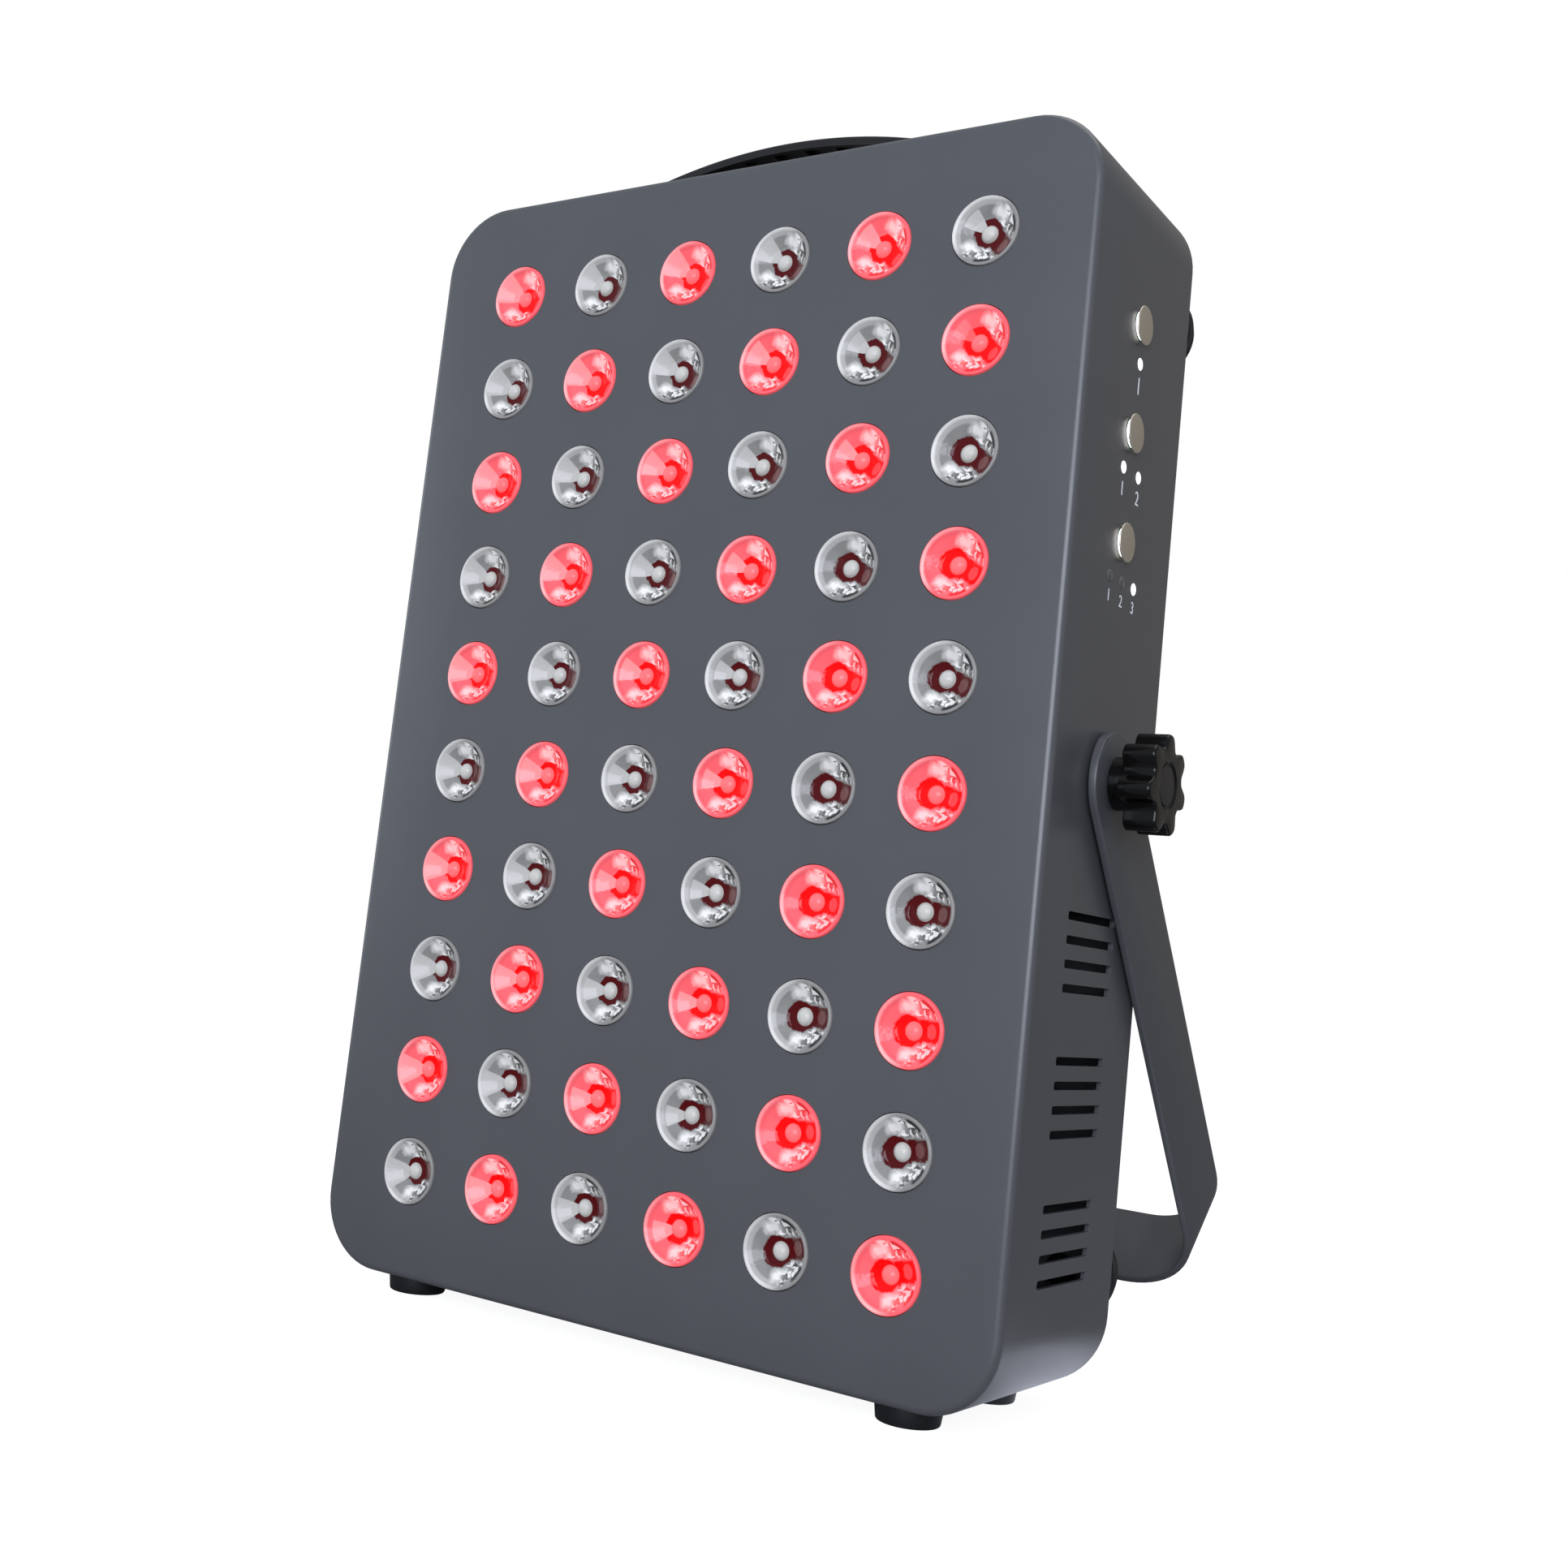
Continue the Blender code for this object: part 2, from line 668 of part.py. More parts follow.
def make_led_board():
    """The emitter board with a conical lens cup over every emitter."""
    board = piece("led_board",
                  block(2 * BOARD_HALF_WIDTH, BOARD_THICKNESS, 2 * BOARD_HALF_HEIGHT),
                  clear_lens("lens_clear"), spot(0, BOARD_FRONT + BOARD_THICKNESS / 2, 0))
    profile = [(0, -LENS_ROOT), (LENS_BASE_RADIUS, -LENS_ROOT), (LENS_RIM_RADIUS, LENS_HEIGHT),
               (LENS_BOWL_RADIUS, LENS_BOWL_FLOOR), (0, LENS_BOWL_FLOOR)]
    lenses = []
    for x, height in lens_places():
        lenses.append((turned(profile, LENS_SEGMENTS), spot(x, BOARD_FRONT, height, TO_FRONT)))
    join(board, lenses)


def make_heat_sink():
    """An extrusion with upright fins behind its base plate."""
    outline = [(-SINK_HALF_WIDTH, 0), (SINK_HALF_WIDTH, 0), (SINK_HALF_WIDTH, SINK_BASE)]
    fins_half_width = BOARD_HALF_WIDTH - FIN_EDGE
    for fin in range(FIN_COUNT):
        middle = fins_half_width * (1 - 2 * fin / (FIN_COUNT - 1))
        for side, depth in ((1, 0), (1, FIN_DEPTH), (-1, FIN_DEPTH), (-1, 0)):
            outline.append((middle + side * FIN_THICKNESS / 2, SINK_BASE + depth))
    outline.append((-SINK_HALF_WIDTH, SINK_BASE))
    sink = piece("heat_sink", extruded(outline, 2 * SINK_HALF_HEIGHT),
                 bare_aluminium("sink_aluminium"), spot(0, SINK_FRONT, -SINK_HALF_HEIGHT))
    rivet_hole = clear_radius(POST_RIVET_RADIUS, POST_SEGMENTS)
    holes = []
    for across in (-1, 1):
        for up in (-1, 1):
            holes.append((rod(rivet_hole, SINK_BASE + 2 * OVERRUN, POST_SEGMENTS),
                          spot(across * POST_ACROSS, SINK_FRONT + SINK_BASE / 2, up * POST_UP,
                               TO_BACK)))
    cut(sink, holes)


def make_sink_posts():
    """Posts from the front plate to the heat sink, riveted over behind it."""
    shoulder = SINK_FRONT - GAP
    rivet = SINK_FRONT + SINK_BASE + GAP
    profile = [(0, SHEET + GAP), (POST_RADIUS, SHEET + GAP), (POST_RADIUS, shoulder),
               (POST_RIVET_RADIUS, shoulder), (POST_RIVET_RADIUS, rivet),
               (POST_HEAD_RADIUS, rivet), (POST_RIVET_RADIUS, rivet + POST_HEAD_HEIGHT),
               (0, rivet + POST_HEAD_HEIGHT)]
    for up, level_name in ((1, "upper"), (-1, "lower")):
        for across, side_name in ((-1, "left"), (1, "right")):
            name = f"sink_post_{level_name}_{side_name}"
            piece(name, turned(profile, POST_SEGMENTS), zinc_steel(name + "_steel"),
                  spot(across * POST_ACROSS, 0, up * POST_UP, TO_BACK))


# Buttons, lamps and control board


def make_control_board():
    """The upright board behind the right wall, with a sleeve round each button stem."""
    bottom = LAMP_RISE - (BUTTON_COUNT - 1) * LAMP_PITCH - CONTROL_BOARD_MARGIN
    top = BUTTON_RISE + CONTROL_BOARD_MARGIN
    board = piece("control_board",
                  block(BOARD_THICKNESS, CONTROL_BOARD_DEPTH, top - bottom),
                  green_board("control_board_green"),
                  spot(CONTROL_BOARD_FACE - BOARD_THICKNESS / 2, LAMP_BACK, (top + bottom) / 2))
    bore = clear_radius(BUTTON_STEM_RADIUS, SLEEVE_SEGMENTS)
    sleeve_top = CONTROL_BOARD_SETBACK - GAP
    profile = [(bore, -BOARD_THICKNESS / 2), (bore + SLEEVE_WALL, -BOARD_THICKNESS / 2),
               (bore + SLEEVE_WALL, sleeve_top), (bore, sleeve_top)]
    sleeves = []
    for height in button_heights():
        sleeves.append((turned(profile, SLEEVE_SEGMENTS, closed=True),
                        spot(CONTROL_BOARD_FACE, BUTTON_BACK, height, TO_RIGHT)))
    join(board, sleeves)


def make_buttons():
    """Thin caps on stems that slide in through the right wall."""
    under_cap = BUTTON_PROUD - BUTTON_CAP
    stem_end = -SHEET - BUTTON_STEM_REACH
    profile = [(0, stem_end), (BUTTON_STEM_RADIUS, stem_end), (BUTTON_STEM_RADIUS, under_cap),
               (BUTTON_RADIUS, under_cap), (BUTTON_RADIUS, BUTTON_PROUD), (0, BUTTON_PROUD)]
    for name, height in zip(("power_button", "mode_button", "timer_button"), button_heights()):
        piece(name, turned(profile, BUTTON_SEGMENTS), button_metal(name + "_metal"),
              spot(SIDE, BUTTON_BACK, height, TO_RIGHT))


def make_lamps():
    """Light pipes flush with the right wall, one, two and three to a row."""
    names = ("power_lamp", "mode_lamp_1", "mode_lamp_2", "timer_lamp_1", "timer_lamp_2",
             "timer_lamp_3")
    length = SHEET + CONTROL_BOARD_SETBACK - GAP
    for name, (depth, height) in zip(names, lamp_places()):
        piece(name, rod(LAMP_RADIUS, length, LAMP_SEGMENTS), white_lamp(name + "_white"),
              spot(SIDE - length / 2, depth, height, TO_RIGHT))


# Stand


def make_stand():
    """The strap bent into a U, hung on both pivots and swung back to its rest angle."""
    bend_top = -(ARM_LENGTH - STRIP - BEND_RADIUS)
    outline = [(-ARM_WIDTH / 2, bend_top)]
    for step in range(ARM_END_STEPS + 1):
        angle = math.pi * (1 - step / ARM_END_STEPS)
        outline.append((ARM_WIDTH / 2 * math.cos(angle), ARM_WIDTH / 2 * math.sin(angle)))
    outline.append((ARM_WIDTH / 2, bend_top))
    shape = bmesh.new()
    inner = [shape.verts.new((ARM_INSIDE, y, z)) for y, z in outline]
    outer = [shape.verts.new((ARM_OUTSIDE, y, z)) for y, z in outline]
    shape.faces.new(inner)
    shape.faces.new(outer)
    for index in range(len(outline) - 1):
        shape.faces.new((inner[index], inner[index + 1], outer[index + 1], outer[index]))
    ring = [inner[0], inner[-1], outer[-1], outer[0]]
    centre = (ARM_INSIDE - BEND_RADIUS, bend_top)
    stations = []
    for step in range(1, BEND_STEPS + 1):
        angle = math.pi / 2 * step / BEND_STEPS
        toward = (math.cos(angle), -math.sin(angle))
        stations.append([(centre[0] + radius * toward[0], centre[1] + radius * toward[1])
                         for radius in (BEND_RADIUS, BEND_RADIUS + STRIP)])
    stations.append([(0, STRIP - ARM_LENGTH), (0, -ARM_LENGTH)])
    for (inner_x, inner_z), (outer_x, outer_z) in stations:
        following = [shape.verts.new(point) for point in
                     ((inner_x, -ARM_WIDTH / 2, inner_z), (inner_x, ARM_WIDTH / 2, inner_z),
                      (outer_x, ARM_WIDTH / 2, outer_z), (outer_x, -ARM_WIDTH / 2, outer_z))]
        for index in range(4):
            after = (index + 1) % 4
            shape.faces.new((ring[index], ring[after], following[after], following[index]))
        ring = following
    bmesh.ops.recalc_face_normals(shape, faces=shape.faces)
    swing = Matrix.Rotation(STAND_ANGLE, 4, "X")
    stand = piece("stand_bracket", shape, powder_coat("stand_paint"),
                  spot(0, PIVOT_BACK, -PIVOT_DROP, swing))
    mirror = stand.modifiers.new("other_half", "MIRROR")
    mirror.use_axis = (True, False, False)
    mirror.merge_threshold = MERGE_DISTANCE
    stud_hole = clear_radius(STUD_RADIUS, STUD_SEGMENTS)
    cut(stand, [(rod(stud_hole, 2 * (ARM_OUTSIDE + OVERRUN), STUD_SEGMENTS),
                 spot(0, PIVOT_BACK, -PIVOT_DROP, swing @ TO_RIGHT))])


def knob_outline():
    """Seven round lobes about the knob's axis."""
    points = []
    count = KNOB_LOBES * KNOB_STEPS_IN_LOBE
    for step in range(count):
        angle = math.tau * step / count
        swell = (1 - math.cos(KNOB_LOBES * angle)) / 2
        radius = KNOB_VALLEY_RADIUS + (KNOB_TIP_RADIUS - KNOB_VALLEY_RADIUS) * swell
        points.append((radius * math.cos(angle), radius * math.sin(angle)))
    return points


def shrunk(outline, amount):
    """An outline drawn towards its axis by an amount."""
    return [(x * (1 - amount / math.hypot(x, y)), y * (1 - amount / math.hypot(x, y)))
            for x, y in outline]


def make_knob(name, across, turn):
    """A lobed hand knob with its stud moulded in, axis along the pivot."""
    lobes = knob_outline()
    points = len(lobes)
    face = KNOB_REACH
    back = ARM_GAP + STRIP + GAP
    rings = [level(circle_outline(KNOB_BARREL_RADIUS, points), back),
             level(circle_outline(KNOB_BARREL_RADIUS, points), face - KNOB_HEAD),
             level(lobes, face - KNOB_HEAD),
             level(lobes, face - KNOB_CHAMFER),
             level(shrunk(lobes, KNOB_CHAMFER), face),
             level(circle_outline(KNOB_CAP_RADIUS, points), face),
             level(circle_outline(KNOB_CAP_RADIUS, points), face - KNOB_CAP_STEP)]
    place = spot(across * SIDE, PIVOT_BACK, -PIVOT_DROP, turn)
    knob = piece(name, loft(rings), black_plastic(name + "_plastic"), place)
    stud_end = -(SHEET + GAP + NUT_THICKNESS + STUD_OVERHANG)
    stud_top = back + STRIP
    stud = rod(STUD_RADIUS, stud_top - stud_end, STUD_SEGMENTS)
    join(knob, [(stud, place @ Matrix.Translation((0, 0, (stud_top + stud_end) / 2)))])


def make_pivots():
    """On each side: knob, friction washer under the arm and nut inside the wall."""
    hole = clear_radius(STUD_RADIUS, STUD_SEGMENTS)
    for side_name, across, turn in (("left", -1, TO_LEFT), ("right", 1, TO_RIGHT)):
        make_knob(f"knob_{side_name}", across, turn)
        place = spot(across * SIDE, PIVOT_BACK, -PIVOT_DROP, turn)
        washer = [(hole, GAP), (WASHER_RADIUS, GAP), (WASHER_RADIUS, GAP + WASHER_THICKNESS),
                  (hole, GAP + WASHER_THICKNESS)]
        piece(f"pivot_washer_{side_name}", turned(washer, WASHER_SEGMENTS, closed=True),
              nylon(f"washer_nylon_{side_name}"), place)
        top = -SHEET - GAP
        rings = [level(circle_outline(radius, NUT_SIDES * 2), height) for radius, height in
                 ((NUT_RADIUS, top - NUT_THICKNESS), (NUT_RADIUS, top), (hole, top),
                  (hole, top - NUT_THICKNESS))]
        piece(f"pivot_nut_{side_name}", loft(rings, closed=True),
              zinc_steel(f"nut_steel_{side_name}"), place)


# Feet and bumpers


def plug_profile(start):
    """A push-in stem through the sheet, from the seat upwards, with its holding head."""
    inside = start + 2 * GAP + SHEET
    return [(PLUG_NECK_RADIUS, start), (PLUG_NECK_RADIUS, inside), (PLUG_HEAD_RADIUS, inside),
            (PLUG_TIP_RADIUS, inside + PLUG_HEAD_HEIGHT), (0, inside + PLUG_HEAD_HEIGHT)]


def make_feet():
    """Tapered rubber feet under the four corners."""
    seat = FOOT_HEIGHT - GAP
    profile = [(0, 0), (FOOT_BOTTOM_RADIUS, 0), (FOOT_TOP_RADIUS, seat)] + plug_profile(seat)
    names = ("foot_front_left", "foot_front_right", "foot_rear_left", "foot_rear_right")
    for name, (x, depth) in zip(names, foot_places()):
        piece(name, turned(profile, FOOT_SEGMENTS), black_rubber(name + "_rubber"),
              spot(x, depth, -MIDDLE))


def make_bumpers():
    """Domed rubber bumpers on the back."""
    profile = [(0, BUMPER_HEIGHT)]
    for step in range(BUMPER_STEPS + 1):
        angle = math.pi / 2 * step / BUMPER_STEPS
        swell = BUMPER_CROWN_RADIUS + (BUMPER_RADIUS - BUMPER_CROWN_RADIUS) * math.sin(angle)
        profile.append((swell, BUMPER_HEIGHT * math.cos(angle)))
    seat = [(radius, -height) for radius, height in plug_profile(0)]
    names = ("bumper_upper_left", "bumper_upper_right", "bumper_lower_left",
             "bumper_lower_right")
    for name, (x, height) in zip(names, bumper_places()):
        piece(name, turned(profile + seat, BUMPER_SEGMENTS), black_rubber(name + "_rubber"),
              spot(x, COVER_BACK + GAP, height, TO_BACK))


# Handle


def arch(radius, half_angle):
    """Points along the handle's arc about the middle of its base, from left to right."""
    centre = HANDLE_RISE - HANDLE_ARC_RADIUS
    points = []
    for step in range(HANDLE_STEPS + 1):
        angle = half_angle * (2 * step / HANDLE_STEPS - 1)
        points.append((radius * math.sin(angle), centre + radius * math.cos(angle)))
    return points


def make_handle():
    """A low strap handle, hollow underneath between cross ribs."""
    sunk = HANDLE_ARC_RADIUS - HANDLE_RISE
    under_radius = HANDLE_ARC_RADIUS - HANDLE_THICKNESS
    top_angle = math.asin(HANDLE_LENGTH / 2 / HANDLE_ARC_RADIUS)
    under_angle = math.acos(sunk / under_radius)
    under = [(HANDLE_LENGTH / 2, 0)] + arch(under_radius, under_angle)[::-1]
    under.append((-HANDLE_LENGTH / 2, 0))
    full = arch(HANDLE_ARC_RADIUS, top_angle) + under
    eased = arch(HANDLE_ARC_RADIUS - HANDLE_EDGE, top_angle) + under
    rings = [level(eased, 0), level(full, HANDLE_EDGE), level(full, HANDLE_WIDTH - HANDLE_EDGE),
             level(eased, HANDLE_WIDTH)]
    middle_back = HANDLE_BACK + HANDLE_WIDTH / 2
    base = TOP + GAP
    handle = piece("handle", loft(rings), black_plastic("handle_plastic"),
                   spot(0, middle_back + HANDLE_WIDTH / 2, base, TO_FRONT))
    hollow = HANDLE_WIDTH - 2 * HANDLE_WALL
    pocket_outer = HANDLE_ARC_RADIUS - HANDLE_WALL
    pocket_inner = under_radius - OVERRUN
    pitch_angle = (HANDLE_POCKET_LENGTH + HANDLE_RIB) / under_radius
    pocket_angle = HANDLE_POCKET_LENGTH / under_radius
    screw_hole = clear_radius(HANDLE_SCREW_RADIUS, SCREW_SEGMENTS)
    cuts = []
    for index in range(HANDLE_POCKETS):
        turn = (index - (HANDLE_POCKETS - 1) / 2) * pitch_angle
        corners = [(radius * math.sin(turn + side * pocket_angle / 2),
                    radius * math.cos(turn + side * pocket_angle / 2) - sunk)
                   for radius, side in ((pocket_outer, -1), (pocket_outer, 1),
                                        (pocket_inner, 1), (pocket_inner, -1))]
        cuts.append((extruded(corners, hollow),
                     spot(0, middle_back + hollow / 2, base, TO_FRONT)))
    for across in (-1, 1):
        cuts.append((rod(screw_hole, 2 * HANDLE_SCREW_DEPTH, SCREW_SEGMENTS),
                     spot(across * HANDLE_SCREW_OFFSET, middle_back, base)))
    cut(handle, cuts)


def make_handle_screws():
    """Screws from inside the case up into the handle's ends."""
    length = GAP + SHEET + GAP + HANDLE_SCREW_DEPTH - GAP
    for side_name, across in (("left", -1), ("right", 1)):
        screw = pan_screw(HANDLE_SCREW_RADIUS, length, HANDLE_SCREW_HEAD_RADIUS,
                          HANDLE_SCREW_HEAD_HEIGHT)
        name = f"handle_screw_{side_name}"
        piece(name, screw, zinc_steel(name + "_steel"),
              spot(across * HANDLE_SCREW_OFFSET, HANDLE_BACK + HANDLE_WIDTH / 2,
                   INSIDE_TOP - GAP, Matrix.Rotation(math.pi, 4, "X")))


# Fans


def make_fan_frame(name, rise):
    """A square frame with a round duct, a hub disc on struts and the rotor's pin."""
    square = rounded_outline(FAN_SIZE / 2, FAN_SIZE / 2, FAN_CORNER_RADIUS, FAN_CORNER_STEPS)
    points = len(square)
    lean = math.pi / points
    duct = [(x * math.cos(lean) - y * math.sin(lean), x * math.sin(lean) + y * math.cos(lean))
            for x, y in circle_outline(FAN_DUCT_RADIUS, points)]
    rings = [level(square, 0), level(square, FAN_THICKNESS), level(duct, FAN_THICKNESS),
             level(duct, 0)]
    frame = piece(name, loft(rings, closed=True), black_plastic(name + "_plastic"),
                  spot(0, FAN_FRONT, rise, TO_BACK))
    screw_hole = clear_radius(FAN_SCREW_RADIUS, SCREW_SEGMENTS)
    cut(frame, [(rod(screw_hole, FAN_THICKNESS + 2 * OVERRUN, SCREW_SEGMENTS),
                 spot(x, FAN_FRONT + FAN_THICKNESS / 2, height, TO_BACK))
                for x, height in fan_screw_places(rise)])
    hub_front = FAN_THICKNESS - FAN_HUB_THICKNESS
    hub = turned([(0, hub_front - FAN_PIN_LENGTH), (FAN_PIN_RADIUS, hub_front - FAN_PIN_LENGTH),
                  (FAN_PIN_RADIUS, hub_front), (FAN_HUB_RADIUS, hub_front),
                  (FAN_HUB_RADIUS, FAN_THICKNESS), (0, FAN_THICKNESS)], FAN_HUB_SEGMENTS)
    join(frame, [(hub, spot(0, FAN_FRONT, rise, TO_BACK))])
    reach = FAN_DUCT_RADIUS + OVERRUN - FAN_HUB_RADIUS / 2
    struts = []
    for strut in range(FAN_STRUTS):
        swing = Matrix.Rotation(math.tau * (strut + 0.5) / FAN_STRUTS, 4, "Y")
        out = Matrix.Translation((FAN_HUB_RADIUS / 2 + reach / 2, 0, 0))
        struts.append((block(reach, FAN_STRUT_WIDTH / 2, FAN_STRUT_WIDTH),
                       spot(0, FAN_BACK - FAN_HUB_THICKNESS / 2, rise, swing @ out)))
    join(frame, struts)


def blade_middle(corner_radius, pitch):
    """Where a blade's section lies when its corners reach a radius."""
    return math.sqrt(corner_radius ** 2 - (FAN_BLADE_WIDTH / 2 * math.cos(pitch)) ** 2)


def fan_blade(radius, pitch):
    """Section of a blade at a radius: a thin pitched strip, chord about the rotor's middle."""
    chord = Vector((0, math.cos(pitch), math.sin(pitch))) * FAN_BLADE_WIDTH / 2
    thick = Vector((0, -math.sin(pitch), math.cos(pitch))) * FAN_BLADE_THICKNESS / 2
    middle = Vector((radius, 0, -FAN_ROTOR_LENGTH / 2))
    return [middle + chord + thick, middle - chord + thick, middle - chord - thick,
            middle + chord - thick]


def make_fan_rotor(name, rise):
    """Hub cup and pitched blades, turning on the frame's pin."""
    bore = clear_radius(FAN_PIN_RADIUS, FAN_HUB_SEGMENTS)
    hub = turned([(0, -FAN_ROTOR_LENGTH), (FAN_HUB_RADIUS, -FAN_ROTOR_LENGTH),
                  (FAN_HUB_RADIUS, 0), (bore, 0), (bore, -FAN_PIN_LENGTH),
                  (0, -FAN_PIN_LENGTH)], FAN_HUB_SEGMENTS)
    place = spot(0, FAN_BACK - FAN_HUB_THICKNESS - GAP, rise, TO_BACK)
    rotor = piece(name, hub, black_plastic(name + "_plastic"), place)
    tip = blade_middle(FAN_DUCT_RADIUS - FAN_TIP_CLEARANCE, FAN_TIP_PITCH)
    root = blade_middle(FAN_HUB_RADIUS - FAN_BLADE_ROOT, FAN_ROOT_PITCH)
    blades = []
    for index in range(FAN_BLADES):
        blade = loft([fan_blade(root, FAN_ROOT_PITCH), fan_blade(tip, FAN_TIP_PITCH)])
        spin = Matrix.Rotation(math.tau * index / FAN_BLADES, 4, "Z")
        blades.append((blade, place @ spin))
    join(rotor, blades)


def make_fans():
    for level_name, rise in zip(("upper", "lower"), FAN_RISES):
        make_fan_frame(f"fan_frame_{level_name}", rise)
        make_fan_rotor(f"fan_rotor_{level_name}", rise)
        for index, (x, height) in enumerate(fan_screw_places(rise)):
            name = f"fan_screw_{level_name}_{index + 1}"
            screw = pan_screw(FAN_SCREW_RADIUS, FAN_SCREW_LENGTH, FAN_SCREW_HEAD_RADIUS,
                              FAN_SCREW_HEAD_HEIGHT)
            piece(name, screw, zinc_steel(name + "_steel"),
                  spot(x, COVER_BACK + GAP, height, TO_BACK))


# Power supply parts


def make_driver_case():
    """The LED driver's box with a fixing ear at each end, against the rear cover."""
    top = TOP - DRIVER_TOP_INSET
    bottom = DRIVER_BOTTOM_INSET - TOP
    ear_front = DRIVER_DEPTH - DRIVER_EAR_THICKNESS
    outline = [(0, bottom + DRIVER_EAR), (0, top - DRIVER_EAR), (ear_front, top - DRIVER_EAR),
               (ear_front, top), (DRIVER_DEPTH, top), (DRIVER_DEPTH, bottom),
               (ear_front, bottom), (ear_front, bottom + DRIVER_EAR)]
    rings = [[(x, y, z) for y, z in outline] for x in (-DRIVER_WIDTH, 0)]
    piece("driver_case", loft(rings), bare_aluminium("driver_aluminium"),
          spot(-DRIVER_SIDE, COVER_FRONT - GAP - DRIVER_DEPTH, 0))


def inlet_outline(grow):
    """The inlet's outline, two upper corners cut off, grown by an amount all round."""
    half_width = INLET_WIDTH / 2 + grow
    half_height = INLET_HEIGHT / 2 + grow
    return [(half_width, half_height), (half_width, INLET_CHAMFER - half_height),
            (half_width - INLET_CHAMFER, -half_height),
            (INLET_CHAMFER - half_width, -half_height),
            (-half_width, INLET_CHAMFER - half_height), (-half_width, half_height)]


def make_power_inlet():
    """A three-pin mains inlet, its socket open to the back."""
    seat = COVER_BACK + GAP - COVER_FRONT
    flange_back = seat + INLET_FLANGE
    floor = flange_back - SOCKET_DEPTH
    rings = [level(inlet_outline(0), flange_back - INLET_BODY_DEPTH),
             level(inlet_outline(0), seat),
             level(inlet_outline(INLET_LIP), seat),
             level(inlet_outline(INLET_LIP), flange_back),
             level(inlet_outline(-INLET_WALL), flange_back),
             level(inlet_outline(-INLET_WALL), floor)]
    place = spot(-INLET_OFFSET, COVER_FRONT, -POWER_DROP, TO_BACK)
    inlet = piece("power_inlet", loft(rings), black_plastic("inlet_plastic"), place)
    root = INLET_WALL / 2
    pins = []
    for x, y in ((-PIN_SPACING, PIN_RISE), (PIN_SPACING, PIN_RISE), (0, -PIN_RISE)):
        pin = block(PIN_WIDTH, PIN_HEIGHT, PIN_LENGTH + root)
        pins.append((pin, place @ Matrix.Translation((x, y, floor + (PIN_LENGTH - root) / 2))))
    join(inlet, pins)


def switch_ring(grow, height):
    half_width = SWITCH_WIDTH / 2 + grow
    half_height = SWITCH_HEIGHT / 2 + grow
    return level([(half_width, half_height), (-half_width, half_height),
                  (-half_width, -half_height), (half_width, -half_height)], height)


def make_power_switch():
    """A rocker switch: its frame in the cover, and the rocker on a cross axis."""
    seat = COVER_BACK + GAP - COVER_FRONT
    flange_back = seat + INLET_FLANGE
    rings = [switch_ring(0, flange_back - SWITCH_BODY_DEPTH), switch_ring(0, seat),
             switch_ring(INLET_LIP, seat), switch_ring(INLET_LIP, flange_back),
             switch_ring(-SWITCH_WALL, flange_back),
             switch_ring(-SWITCH_WALL, flange_back - SWITCH_CAVITY_DEPTH)]
    piece("switch_frame", loft(rings), black_plastic("switch_plastic"),
          spot(INLET_OFFSET, COVER_FRONT, -POWER_DROP, TO_BACK))
    half_width = SWITCH_WIDTH / 2 - SWITCH_WALL - ROCKER_CLEARANCE
    half_length = SWITCH_HEIGHT / 2 - SWITCH_WALL - ROCKER_SWING_CLEARANCE
    outline = [(ROCKER_HORN, half_length), (ROCKER_VALLEY, 0), (ROCKER_HORN, -half_length),
               (0, -half_length), (-ROCKER_BELLY, 0), (0, half_length)]
    rings = [[(x, y, z) for y, z in outline] for x in (-half_width, half_width)]
    piece("switch_rocker", loft(rings), black_plastic("rocker_plastic"),
          spot(INLET_OFFSET, COVER_FRONT + flange_back - INLET_FLANGE / 2, -POWER_DROP,
               Matrix.Rotation(ROCKER_TILT, 4, "X")))


# Assembly

for leftover in list(bpy.data.objects):
    bpy.data.objects.remove(leftover, do_unlink=True)

make_front_housing()
make_rear_cover()
make_cover_screws()
make_led_board()
make_heat_sink()
make_sink_posts()
make_control_board()
make_buttons()
make_lamps()
make_stand()
make_pivots()
make_feet()
make_bumpers()
make_handle()
make_handle_screws()
make_fans()
make_driver_case()
make_power_inlet()
make_power_switch()
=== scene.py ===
import math

import bmesh
import bpy
from mathutils import Matrix, Vector


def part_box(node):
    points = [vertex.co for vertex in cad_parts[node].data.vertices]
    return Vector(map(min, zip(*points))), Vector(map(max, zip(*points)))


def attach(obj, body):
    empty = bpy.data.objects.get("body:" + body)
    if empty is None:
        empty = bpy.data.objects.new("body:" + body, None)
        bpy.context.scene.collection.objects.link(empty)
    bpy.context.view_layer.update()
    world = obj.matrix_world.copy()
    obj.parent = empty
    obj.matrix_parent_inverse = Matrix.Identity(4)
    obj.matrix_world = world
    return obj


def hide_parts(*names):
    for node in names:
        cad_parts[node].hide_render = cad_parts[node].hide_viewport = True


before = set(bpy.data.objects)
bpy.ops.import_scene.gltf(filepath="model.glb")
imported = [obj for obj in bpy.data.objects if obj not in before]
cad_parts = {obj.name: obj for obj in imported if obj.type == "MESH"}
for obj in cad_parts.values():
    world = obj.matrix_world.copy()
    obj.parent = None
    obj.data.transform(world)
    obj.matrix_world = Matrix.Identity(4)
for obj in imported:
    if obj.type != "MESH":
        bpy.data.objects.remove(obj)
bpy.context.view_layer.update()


# Camera
#
# The camera stands close to the case, in front of it to the right and a little below its
# middle. Places on the case are given as across, depth behind the front face and height
# above its middle, in metres.

case_low, case_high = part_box("front_housing")
FRONT = case_low.y
MIDDLE = (case_low.z + case_high.z) / 2


def spot(x, depth, height, turn=Matrix.Identity(4)):
    """The place of a shape on the case."""
    return Matrix.Translation((x, FRONT + depth, MIDDLE + height)) @ turn


